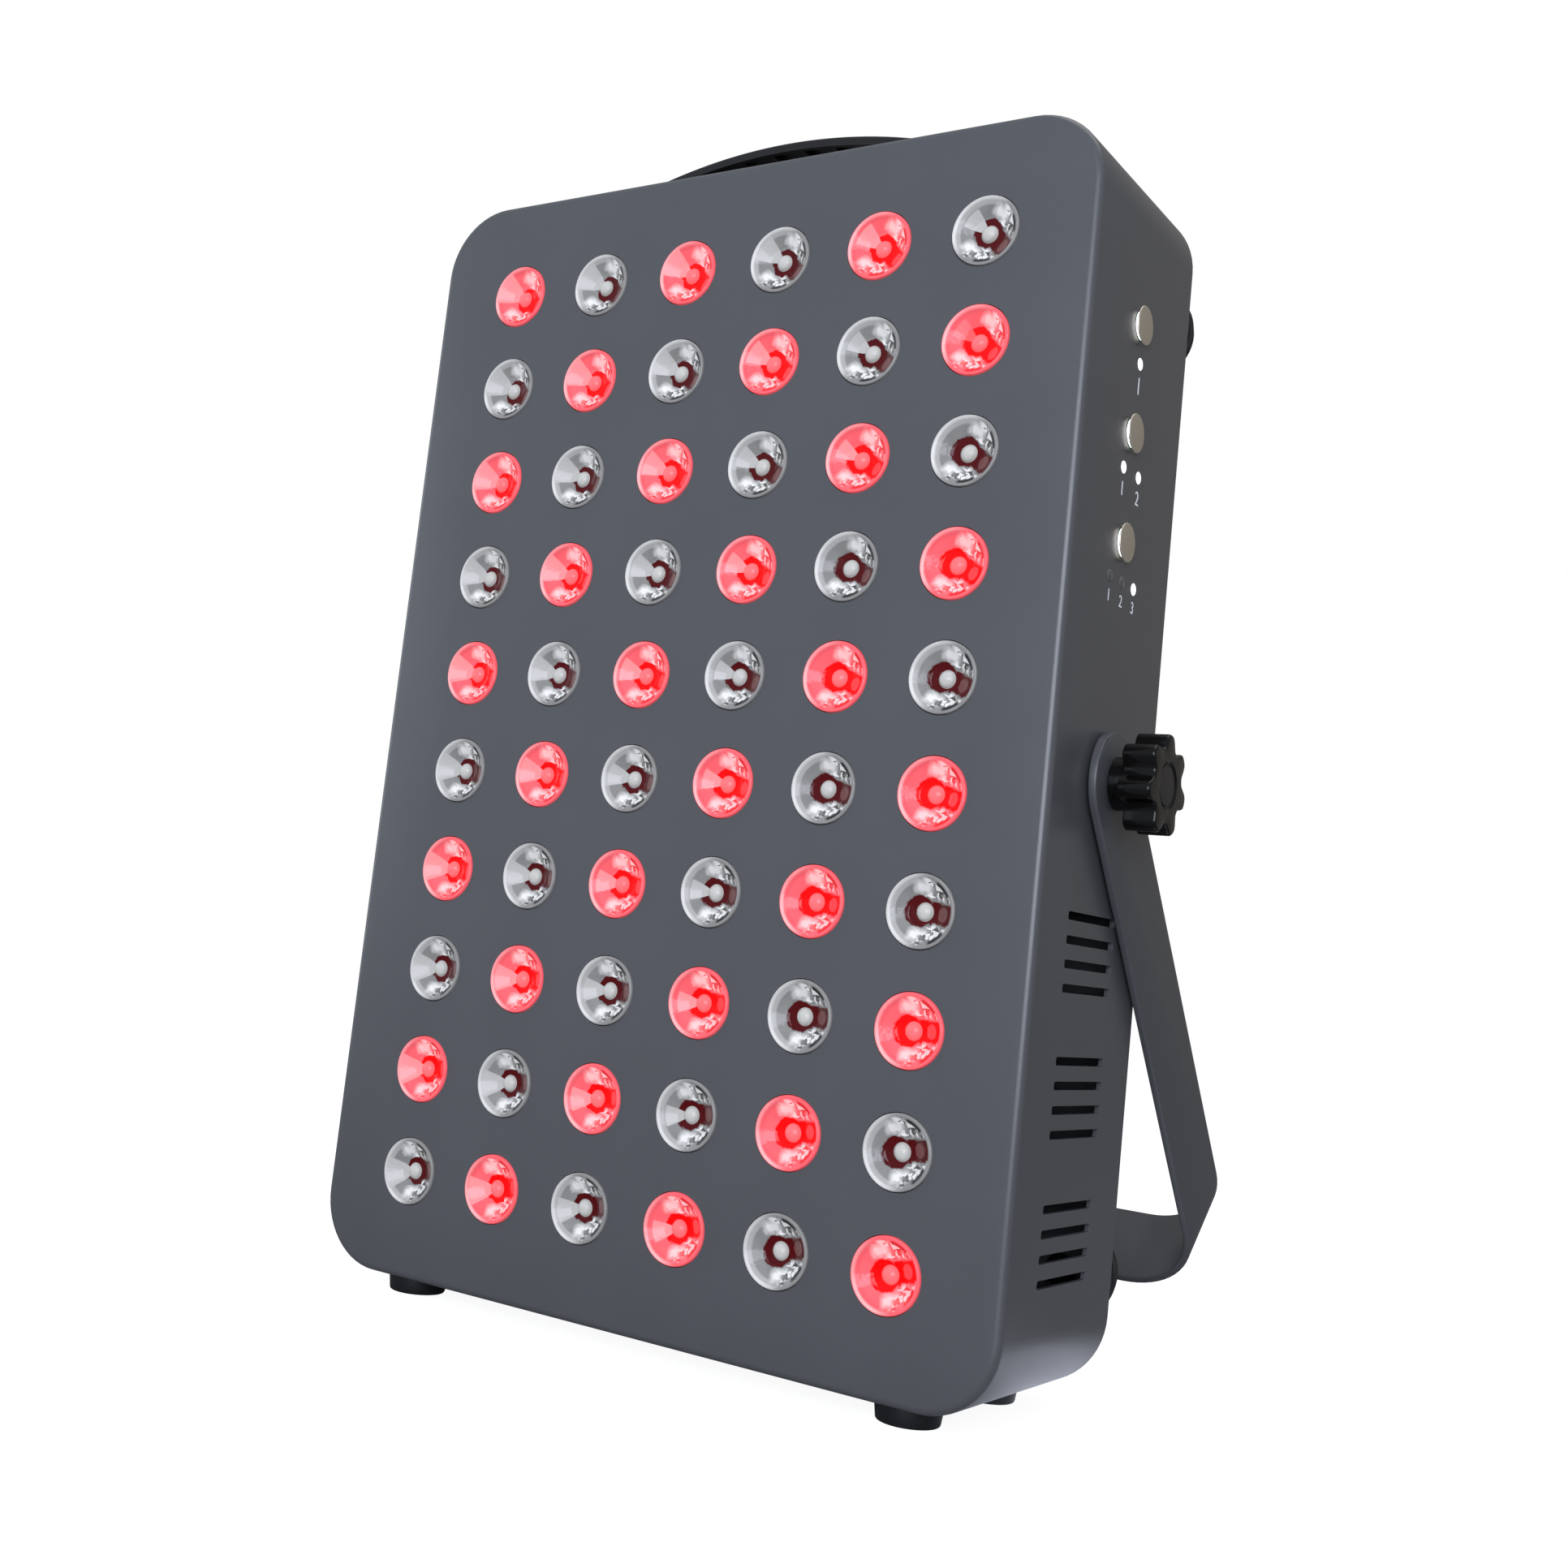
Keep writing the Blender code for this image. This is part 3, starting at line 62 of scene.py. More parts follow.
CAMERA_PLACE = (0.2663, -0.3790, -0.0552)
CAMERA_RIGHT = Vector((0.82186, 0.55889, 0.11113))
CAMERA_UP = Vector((-0.02384, -0.16109, 0.98669))
CAMERA_AHEAD = Vector((-0.56931, 0.81357, 0.11902))
camera_data = bpy.data.cameras.new("camera")
camera_data.sensor_width = 36.0
camera_data.lens = 42.04
camera_data.shift_x = 0.0635
camera_data.shift_y = -0.0365
camera_data.clip_start = 0.01
camera = bpy.data.objects.new("camera", camera_data)
axes = Matrix((CAMERA_RIGHT, CAMERA_UP, -CAMERA_AHEAD)).transposed().to_4x4()
camera.matrix_world = spot(*CAMERA_PLACE, axes)
bpy.context.scene.collection.objects.link(camera)
bpy.context.scene.camera = camera


# Background, floor and lights
#
# The object stands on a plain white table top in a white studio. Large soft lamps in front,
# to the left and above light it, and its right-hand wall stays a little darker. Seen only in
# glossy rays, the table top also glows bluish beside the case's right-hand wall and faintly
# further in front of it: a painted reflection on the case's lower right corner.

SKY_FRONT = (0.90, 0.97, 1.10, 1.0)
SKY_BACK = (0.42, 0.400, 0.375, 1.0)
SKY_STRENGTH = 0.62
FLOOR_HALF = 3.0
FLOOR_COLOUR = (0.26, 0.26, 0.26, 1.0)
# Tint, place and reach of the table's painted reflection glow, seen only in glossy rays.
PAINTED_REFLECTION_TINT = (0.90, 0.945, 1.13, 1.0)
FLOOR_SEEN = 0.92
PAINTED_REFLECTION_PLACE = (0.11, -0.01, 0)
PAINTED_REFLECTION_OUTER = 0.080
PAINTED_REFLECTION_INNER = 0.022
PAINTED_REFLECTION_FALL = 2.2
LAMP_TARGET = (0, 0, 0.16)
LAMPS = (
    ("front_softbox", (0.64, -1.60, 0.43), 1.30, 0.84, 24.5, (0.91, 0.97, 1.11)),
    ("left_softbox", (-1.60, -0.60, 0.40), 0.80, 0.80, 4.0, (0.92, 0.98, 1.08)),
    ("top_softbox", (0.30, 0.10, 1.50), 1.00, 1.00, 5.0, (1.0, 1.0, 1.0)),
)


def node(tree, kind, inputs=None, **settings):
    """A new node with its settings, its inputs fed by values or by other sockets."""
    made = tree.nodes.new(kind)
    for key, value in settings.items():
        setattr(made, key, value)
    for socket, value in (inputs or {}).items():
        if isinstance(value, bpy.types.NodeSocket):
            tree.links.new(value, made.inputs[socket])
        else:
            made.inputs[socket].default_value = value
    return made


def calculate(tree, operation, first, second=0.0, clamp=False):
    """The result of one sum."""
    made = node(tree, "ShaderNodeMath", {0: first, 1: second}, operation=operation,
                use_clamp=clamp)
    return made.outputs[0]


world = bpy.data.worlds.new("studio")
world.use_nodes = True
bpy.context.scene.world = world
sky = world.node_tree
sky.nodes.clear()
direction = node(sky, "ShaderNodeTexCoord").outputs["Generated"]
parts = node(sky, "ShaderNodeSeparateXYZ", {0: direction})
ahead = node(sky, "ShaderNodeMapRange", {0: parts.outputs["Y"], 1: 0.9, 2: -0.7})
shade = node(sky, "ShaderNodeMix", {0: ahead.outputs[0], 6: SKY_BACK, 7: SKY_FRONT},
             data_type="RGBA")
path = node(sky, "ShaderNodeLightPath")
lit = node(sky, "ShaderNodeBackground", {"Color": shade.outputs[2], "Strength": SKY_STRENGTH})
plain = node(sky, "ShaderNodeBackground", {"Color": (1, 1, 1, 1), "Strength": 1.0})
seen = node(sky, "ShaderNodeMixShader", {0: path.outputs["Is Camera Ray"], 1: lit.outputs[0],
                                         2: plain.outputs[0]})
node(sky, "ShaderNodeOutputWorld", {0: seen.outputs[0]})

for name, place, width, height, power, colour in LAMPS:
    lamp_data = bpy.data.lights.new(name, "AREA")
    lamp_data.shape = "RECTANGLE"
    lamp_data.size = width
    lamp_data.size_y = height
    lamp_data.color = colour
    lamp_data.energy = power
    lamp = bpy.data.objects.new(name, lamp_data)
    aim = Vector(LAMP_TARGET) - Vector(place)
    turn = aim.to_track_quat("-Z", "Y").to_matrix().to_4x4()
    lamp.matrix_world = Matrix.Translation(place) @ turn
    bpy.context.scene.collection.objects.link(lamp)

floor_paint = bpy.data.materials.new("table_white")
floor_paint.use_nodes = True
tree = floor_paint.node_tree
shader = tree.nodes["Principled BSDF"]
shader.inputs["Base Color"].default_value = FLOOR_COLOUR
shader.inputs["Roughness"].default_value = 0.9
shader.inputs["Specular IOR Level"].default_value = 0.0
path = node(tree, "ShaderNodeLightPath")
tint = node(tree, "ShaderNodeMix", {0: path.outputs["Is Camera Ray"], 6: PAINTED_REFLECTION_TINT,
                                    7: (1, 1, 1, 1)}, data_type="RGBA")
tree.links.new(tint.outputs[2], shader.inputs["Emission Color"])
# Painted reflection: glossy rays see the table glow, strongest in a patch beside the case's
# right-hand wall and faintly further in front.
place = node(tree, "ShaderNodeTexCoord").outputs["Object"]
offset = node(tree, "ShaderNodeVectorMath", {0: place, 1: PAINTED_REFLECTION_PLACE}, operation="SUBTRACT")
distance = node(tree, "ShaderNodeVectorMath", {0: offset.outputs[0]},
                operation="LENGTH").outputs["Value"]
closeness = node(tree, "ShaderNodeMapRange", {0: distance, 1: PAINTED_REFLECTION_OUTER, 2: PAINTED_REFLECTION_INNER})
painted_reflection_patch = calculate(tree, "POWER", closeness.outputs[0], PAINTED_REFLECTION_FALL)
seen = calculate(tree, "MULTIPLY", path.outputs["Is Camera Ray"], FLOOR_SEEN)
toward = node(tree, "ShaderNodeSeparateXYZ", {0: place}).outputs["Y"]
painted_reflection_ahead = node(tree, "ShaderNodeMapRange", {0: toward, 1: -0.10, 2: -0.50, 3: 0.02, 4: 0.17})
glow = calculate(tree, "ADD", painted_reflection_patch, painted_reflection_ahead.outputs[0])
mirrored = calculate(tree, "MULTIPLY", path.outputs["Is Glossy Ray"], glow)
tree.links.new(calculate(tree, "ADD", seen, mirrored), shader.inputs["Emission Strength"])
floor_mesh = bpy.data.meshes.new("table_top")
shape = bmesh.new()
corners = [shape.verts.new((x * FLOOR_HALF, y * FLOOR_HALF, 0))
           for x, y in ((-1, -1), (1, -1), (1, 1), (-1, 1))]
shape.faces.new(corners)
shape.to_mesh(floor_mesh)
shape.free()
floor_mesh.materials.append(floor_paint)
floor = bpy.data.objects.new("table_top", floor_mesh)
bpy.context.scene.collection.objects.link(floor)
bpy.context.scene.view_settings.view_transform = "Standard"


# Case tray
#
# One deep-drawn steel tray: flat front plate with a rounded edge, sixty round holes, four
# side walls with louvres, and holes for buttons and lamps. Fine dark grey powder coat.

PANEL_WIDTH = 0.2029
PANEL_HEIGHT = 0.3016
PANEL_DEPTH = 0.0624
CORNER_RADIUS = 0.0190
EDGE_RADIUS = 0.0019
BACK_EDGE = 0.0003
SHEET = 0.0012
SIDE = PANEL_WIDTH / 2
TOP = PANEL_HEIGHT / 2
LENS_COLUMNS = 6
LENS_ROWS = 10
LENS_HALF_WIDTH = SIDE - 0.02895
LENS_HALF_HEIGHT = TOP - 0.0280
LENS_HOLE_RADIUS = 0.0090
LOUVRE_LENGTH = 0.0286
LOUVRE_HEIGHT = 0.0020
FIRST_LOUVRE = -0.0381
LOUVRE_GROUP_PITCH = 0.0331
LOUVRE_PITCH = 0.00553
LOUVRE_HEIGHTS = [FIRST_LOUVRE - group * LOUVRE_GROUP_PITCH - louvre * LOUVRE_PITCH
                  for group in range(3) for louvre in range(4)]
BUTTON_BACK = 0.0304
BUTTON_DROP = 0.0442
BUTTON_PITCH = 0.0271
BUTTON_HEIGHTS = [TOP - BUTTON_DROP - index * BUTTON_PITCH for index in range(3)]
BUTTON_STEM_RADIUS = 0.0026
BUTTON_HOLE_RADIUS = 0.0040
LAMP_BACK = 0.0319
LAMP_SPACINGS = (0, 0.0098, 0.0077)
LAMP_RADIUS = 0.0015
LAMP_CLEARANCE = 0.0001
LAMP_DROP = 0.0092
LAMP_PITCH = 0.0272
LAMP_HEIGHTS = [TOP - BUTTON_DROP - LAMP_DROP - row * LAMP_PITCH for row in range(3)]
PIVOT_BACK = PANEL_DEPTH / 2
PIVOT_DROP = 0.0058
STUD_RADIUS = 0.0030
STUD_CLEARANCE = 0.0004
FOOT_ACROSS = (0.0274 - SIDE, SIDE - 0.0255)
FOOT_DEPTHS = (0.0110, PANEL_DEPTH - 0.0110)
TO_RIGHT = Matrix.Rotation(math.pi / 2, 4, "Y")
TO_LEFT = Matrix.Rotation(-math.pi / 2, 4, "Y")
TO_BACK = Matrix.Rotation(-math.pi / 2, 4, "X")
TO_FRONT = Matrix.Rotation(math.pi / 2, 4, "X")
SMOOTH_ANGLE = math.radians(32)


def circle(radius, steps):
    """Points of a circle about zero."""
    return [(radius * math.cos(math.tau * step / steps), radius * math.sin(math.tau * step / steps))
            for step in range(steps)]


def rounded(half_width, half_height, radius, steps):
    """Points of a rounded rectangle about zero."""
    points = []
    for quarter, (across, up) in enumerate(((1, 1), (-1, 1), (-1, -1), (1, -1))):
        for step in range(steps + 1):
            angle = math.pi / 2 * (quarter + step / steps)
            points.append((across * (half_width - radius) + radius * math.cos(angle),
                           up * (half_height - radius) + radius * math.sin(angle)))
    return points


def eased(corners, steps=4):
    """A line through (a, b, radius) corners, each corner rounded by its radius."""
    points = []
    for index, (a, b, radius) in enumerate(corners):
        here = Vector((a, b))
        if radius == 0 or index in (0, len(corners) - 1):
            points.append((a, b))
            continue
        back = (Vector(corners[index - 1][:2]) - here).normalized()
        forth = (Vector(corners[index + 1][:2]) - here).normalized()
        half = back.angle(forth) / 2
        reach = radius / math.tan(half)
        centre = here + (back + forth).normalized() * (radius / math.sin(half))
        start = here + back * reach - centre
        sweep = math.pi - 2 * half
        side = 1 if start.cross(here + forth * reach - centre) > 0 else -1
        for step in range(steps + 1):
            turn = side * sweep * step / steps
            points.append((centre.x + start.x * math.cos(turn) - start.y * math.sin(turn),
                           centre.y + start.x * math.sin(turn) + start.y * math.cos(turn)))
    return points


def loft(rings, closed=False, caps=True):
    """A skin over rings of equally many points."""
    shape = bmesh.new()
    loops = [[shape.verts.new(point) for point in ring] for ring in rings]
    pairs = list(zip(loops, loops[1:]))
    if closed:
        pairs.append((loops[-1], loops[0]))
    elif caps:
        shape.faces.new(loops[0])
        shape.faces.new(loops[-1])
    for lower, upper in pairs:
        for index in range(len(lower)):
            after = (index + 1) % len(lower)
            shape.faces.new((lower[index], lower[after], upper[after], upper[index]))
    bmesh.ops.recalc_face_normals(shape, faces=shape.faces)
    return shape


def turned(profile, steps=48, closed=False):
    """A (radius, height) profile spun about the upright axis."""
    shape = bmesh.new()
    verts = [shape.verts.new((radius, 0, height)) for radius, height in profile]
    edges = [shape.edges.new(pair) for pair in zip(verts, verts[1:])]
    if closed:
        edges.append(shape.edges.new((verts[-1], verts[0])))
    bmesh.ops.spin(shape, geom=verts + edges, cent=(0, 0, 0), axis=(0, 0, 1), angle=math.tau,
                   steps=steps, use_merge=True)
    bmesh.ops.remove_doubles(shape, verts=shape.verts, dist=0.000001)
    bmesh.ops.recalc_face_normals(shape, faces=shape.faces)
    return shape


def rod(radius, length, steps=32):
    """A round bar about zero, along the upright axis."""
    return loft([[(x, y, z) for x, y in circle(radius, steps)] for z in (-length / 2, length / 2)])


def gathered(shapes):
    """Several (shape, place) pairs in one mesh."""
    whole = bmesh.new()
    for part, place in shapes:
        part.transform(place)
        carrier = bpy.data.meshes.new("carrier")
        part.to_mesh(carrier)
        part.free()
        whole.from_mesh(carrier)
        bpy.data.meshes.remove(carrier)
    return whole


def piece(name, shape, material, body, place=Matrix.Identity(4), cuts=()):
    """One named piece on its body, with openings cut and its edges shaded."""
    mesh = bpy.data.meshes.new(name)
    shape.to_mesh(mesh)
    shape.free()
    made = bpy.data.objects.new(name, mesh)
    made.matrix_world = place
    bpy.context.scene.collection.objects.link(made)
    if cuts:
        cut_mesh = bpy.data.meshes.new(name + "_cuts")
        gathered(cuts).to_mesh(cut_mesh)
        tool = bpy.data.objects.new(name + "_cuts", cut_mesh)
        bpy.context.scene.collection.objects.link(tool)
        modifier = made.modifiers.new("openings", "BOOLEAN")
        modifier.operation = "DIFFERENCE"
        modifier.solver = "EXACT"
        modifier.use_self = True
        modifier.object = tool
        bpy.context.view_layer.update()
        evaluated = made.evaluated_get(bpy.context.evaluated_depsgraph_get())
        mesh = bpy.data.meshes.new_from_object(evaluated)
        made.modifiers.clear()
        made.data = mesh
        bpy.data.objects.remove(tool)
    mesh.materials.clear()
    mesh.materials.append(material)
    mesh.shade_smooth()
    mesh.set_sharp_from_angle(angle=SMOOTH_ANGLE)
    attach(made, body)
    return made


def surface_group():
    """Shared detail of a finish: mottled colour, worn edges, uneven gloss and fine bumps."""
    group = bpy.data.node_groups.new("surface_detail", "ShaderNodeTree")
    for name, kind, value in (("Colour", "NodeSocketColor", (0.1, 0.1, 0.1, 1)),
                              ("Worn Colour", "NodeSocketColor", (0.2, 0.2, 0.2, 1)),
                              ("Roughness", "NodeSocketFloat", 0.4),
                              ("Grain Scale", "NodeSocketFloat", 2000.0),
                              ("Grain Depth", "NodeSocketFloat", 0.1),
                              ("Mottle", "NodeSocketFloat", 0.06),
                              ("Edge Wear", "NodeSocketFloat", 0.3)):
        socket = group.interface.new_socket(name, in_out="INPUT", socket_type=kind)
        socket.default_value = value
    for name, kind in (("Colour", "NodeSocketColor"), ("Roughness", "NodeSocketFloat"),
                       ("Normal", "NodeSocketVector")):
        group.interface.new_socket(name, in_out="OUTPUT", socket_type=kind)
    given = node(group, "NodeGroupInput").outputs
    place = node(group, "ShaderNodeTexCoord").outputs["Object"]
    cloud = node(group, "ShaderNodeTexNoise", {"Vector": place, "Scale": 28.0, "Detail": 4.0})
    fine = node(group, "ShaderNodeTexNoise", {"Vector": place, "Scale": given["Grain Scale"],
                                              "Detail": 2.0})
    corner = node(group, "ShaderNodeBevel", {"Radius": 0.0006}, samples=4)
    true_normal = node(group, "ShaderNodeNewGeometry").outputs["Normal"]
    agree = node(group, "ShaderNodeVectorMath", {0: corner.outputs[0], 1: true_normal},
                 operation="DOT_PRODUCT").outputs["Value"]
    edge = node(group, "ShaderNodeMapRange", {0: agree, 1: 0.995, 2: 0.80})
    broken = calculate(group, "MULTIPLY", edge.outputs[0],
                       calculate(group, "MULTIPLY", cloud.outputs[0], 1.6))
    worn = calculate(group, "MULTIPLY", broken, given["Edge Wear"], clamp=True)
    swing = calculate(group, "SUBTRACT", cloud.outputs[0], 0.5)
    speck = calculate(group, "SUBTRACT", fine.outputs[0], 0.5)
    amount = calculate(group, "ADD", calculate(group, "MULTIPLY", swing, given["Mottle"]),
                       calculate(group, "MULTIPLY", speck, given["Mottle"]))
    level = calculate(group, "ADD", 1.0, calculate(group, "MULTIPLY", amount, 2.0))
    tone = node(group, "ShaderNodeVectorMath", {0: given["Colour"], 3: level}, operation="SCALE")
    blend = node(group, "ShaderNodeMix", {0: worn, 6: tone.outputs[0], 7: given["Worn Colour"]},
                 data_type="RGBA")
    gloss = calculate(group, "ADD", given["Roughness"], calculate(group, "MULTIPLY", swing, 0.16))
    bump = node(group, "ShaderNodeBump", {"Strength": given["Grain Depth"], "Distance": 0.0001,
                                          "Height": fine.outputs[0]})
    node(group, "NodeGroupOutput", {"Colour": blend.outputs[2], "Roughness": gloss,
                                    "Normal": bump.outputs[0]})
    return group


SURFACE = surface_group()


def finish(name, colour, roughness, grain=2000.0, depth=0.1, mottle=0.06, wear=0.3, worn=None,
           metallic=0.0, coat=0.0, sheen=0.5):
    """A material made from the shared surface detail."""
    material = bpy.data.materials.new(name)
    material.use_nodes = True
    tree = material.node_tree
    shader = tree.nodes["Principled BSDF"]
    shader.inputs["Metallic"].default_value = metallic
    shader.inputs["Specular IOR Level"].default_value = sheen
    shader.inputs["Coat Weight"].default_value = coat
    shader.inputs["Coat Roughness"].default_value = 0.08
    light = worn or tuple(min(1.0, 1.6 * value + 0.02) for value in colour)
    detail = node(tree, "ShaderNodeGroup", node_tree=SURFACE)
    for socket, value in (("Colour", (*colour, 1)), ("Worn Colour", (*light, 1)),
                          ("Roughness", roughness), ("Grain Scale", grain),
                          ("Grain Depth", depth), ("Mottle", mottle), ("Edge Wear", wear)):
        detail.inputs[socket].default_value = value
    for result, socket in (("Colour", "Base Color"), ("Roughness", "Roughness"),
                           ("Normal", "Normal")):
        tree.links.new(detail.outputs[result], shader.inputs[socket])
    material.diffuse_color = (*colour, 1)
    return material


def case_ring(inset, depth, steps=14):
    """The case's outline drawn in by an amount, at a depth."""
    return [(x, depth, z) for x, z in rounded(SIDE - inset, TOP - inset, CORNER_RADIUS - inset,
                                              steps)]


def lens_places():
    """Row, column, across and up place of every lens, from the top left."""
    for row in range(LENS_ROWS):
        for column in range(LENS_COLUMNS):
            yield (row, column,
                   LENS_HALF_WIDTH * (2 * column / (LENS_COLUMNS - 1) - 1),
                   LENS_HALF_HEIGHT * (1 - 2 * row / (LENS_ROWS - 1)))


def lamp_places():
    """Row, number in the row, depth and height of every lamp."""
    for row in range(3):
        for index in range(row + 1):
            yield row, index, LAMP_BACK + (index - row / 2) * LAMP_SPACINGS[row], LAMP_HEIGHTS[row]


def slot_cutter(length, height, reach):
    """A bar with rounded ends that cuts a louvre, along the case's depth."""
    outline = rounded(length / 2, height / 2, height * 0.30, 4)
    return loft([[(x, y, z) for y, z in outline] for x in (-reach, reach)])


powder_coat = finish("powder_coat_grey", (0.070, 0.0715, 0.076), 0.31, grain=2600.0, depth=0.16,
                     mottle=0.05, wear=0.25)
rings = []
for step in range(7):
    angle = math.pi / 2 * step / 6
    rings.append(case_ring(EDGE_RADIUS * (1 - math.sin(angle)), EDGE_RADIUS * (1 - math.cos(angle))))
rings += [case_ring(0, PANEL_DEPTH - BACK_EDGE), case_ring(BACK_EDGE, PANEL_DEPTH),
          case_ring(SHEET, PANEL_DEPTH), case_ring(SHEET, SHEET)]
cuts = [(rod(LENS_HOLE_RADIUS, 4 * SHEET, 40), spot(x, SHEET / 2, z, TO_BACK))
        for _, _, x, z in lens_places()]
for height in LOUVRE_HEIGHTS:
    cuts.append((slot_cutter(LOUVRE_LENGTH, LOUVRE_HEIGHT, SIDE + SHEET),
                 spot(0, PANEL_DEPTH / 2, height)))
for height in BUTTON_HEIGHTS:
    cuts.append((rod(BUTTON_HOLE_RADIUS, 4 * SHEET), spot(SIDE, BUTTON_BACK, height, TO_RIGHT)))
for _, _, depth, height in lamp_places():
    cuts.append((rod(LAMP_RADIUS + LAMP_CLEARANCE, 4 * SHEET, 24),
                 spot(SIDE, depth, height, TO_RIGHT)))
cuts.append((rod(STUD_RADIUS + STUD_CLEARANCE, 2 * SIDE + 4 * SHEET),
             spot(0, PIVOT_BACK, -PIVOT_DROP, TO_RIGHT)))
tray = piece("case_tray", loft(rings), powder_coat, "panel", spot(0, 0, 0), cuts)
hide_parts("front_housing")


# Lenses and emitter board
#
# Sixty clear moulded lenses stand a little proud of the front plate. The ring round each
# lens's centre is the square emitter under it, painted into the lens colour, and every other
# emitter is lit red. The light sectors, highlights, sparkles, rim bands, dark glints and the
# emitter's mirrored second ring in each lens are painted reflections in the lens colours.

LENS_RADIUS = 0.0089
LENS_PROUD = 0.0005
LENS_FLOOR = 0.0026
RING_OUTER = 0.0042
DOME_RADIUS = 0.0021
DOME_HEIGHT = 0.0014
LENS_BACK = 0.0100
BOARD_MARGIN = 0.0020
BOARD_THICKNESS = 0.0016
# The spot the painted reflections face is the camera's place across and in height, and its depth is
# the camera's distance in front of the case.
REFLECTION_SPOT = (0.2663, -0.0552)
REFLECTION_SPOT_DEPTH = 0.379


def lens_shape():
    """A lens with a rounded rim, a shallow bowl and a dome in its middle, facing up."""
    profile = eased([(0.0046, -LENS_BACK, 0), (0.0078, -0.0022, 0.001),
                     (LENS_RADIUS, -0.0006, 0.0010), (LENS_RADIUS - 0.0002, LENS_PROUD, 0.0003),
                     (LENS_RADIUS - 0.0009, LENS_PROUD, 0.0010),
                     (RING_OUTER, 0.0003 - LENS_FLOOR, 0.0008),
                     (DOME_RADIUS, -LENS_FLOOR, 0.0003)], 5)
    for step in range(5):
        angle = math.pi / 2 * step / 4
        profile.append((DOME_RADIUS * math.cos(angle),
                        DOME_HEIGHT * math.sin(angle) - LENS_FLOOR))
    return turned(profile, 48)


def lens_group(name, wanted, material):
    """All lenses of one look, each turned so that its painted reflections face the same spot."""
    whole = bmesh.new()
    flat = whole.loops.layers.uv.new("lens")
    slope = whole.loops.layers.uv.new("lean")
    for row, column, x, z in lens_places():
        if (row + column) % 2 != wanted:
            continue
        first = len(whole.faces)
        part = lens_shape()
        part.transform(Matrix.Translation((x, 0, z)) @ TO_FRONT)
        mesh = bpy.data.meshes.new("lens_part")
        part.to_mesh(mesh)
        part.free()
        whole.from_mesh(mesh)
        bpy.data.meshes.remove(mesh)
        whole.faces.ensure_lookup_table()
        along = (Vector(REFLECTION_SPOT) - Vector((x, z))) / REFLECTION_SPOT_DEPTH
        lean = along.length
        along.normalize()
        for face in whole.faces[first:]:
            for loop in face.loops:
                away = Vector((loop.vert.co.x - x, loop.vert.co.z - z)) / LENS_RADIUS
                loop[flat].uv = (away.dot(along), along.cross(away))
                loop[slope].uv = (lean, 0)
    return piece(name, whole, material, "panel", spot(0, 0, 0))


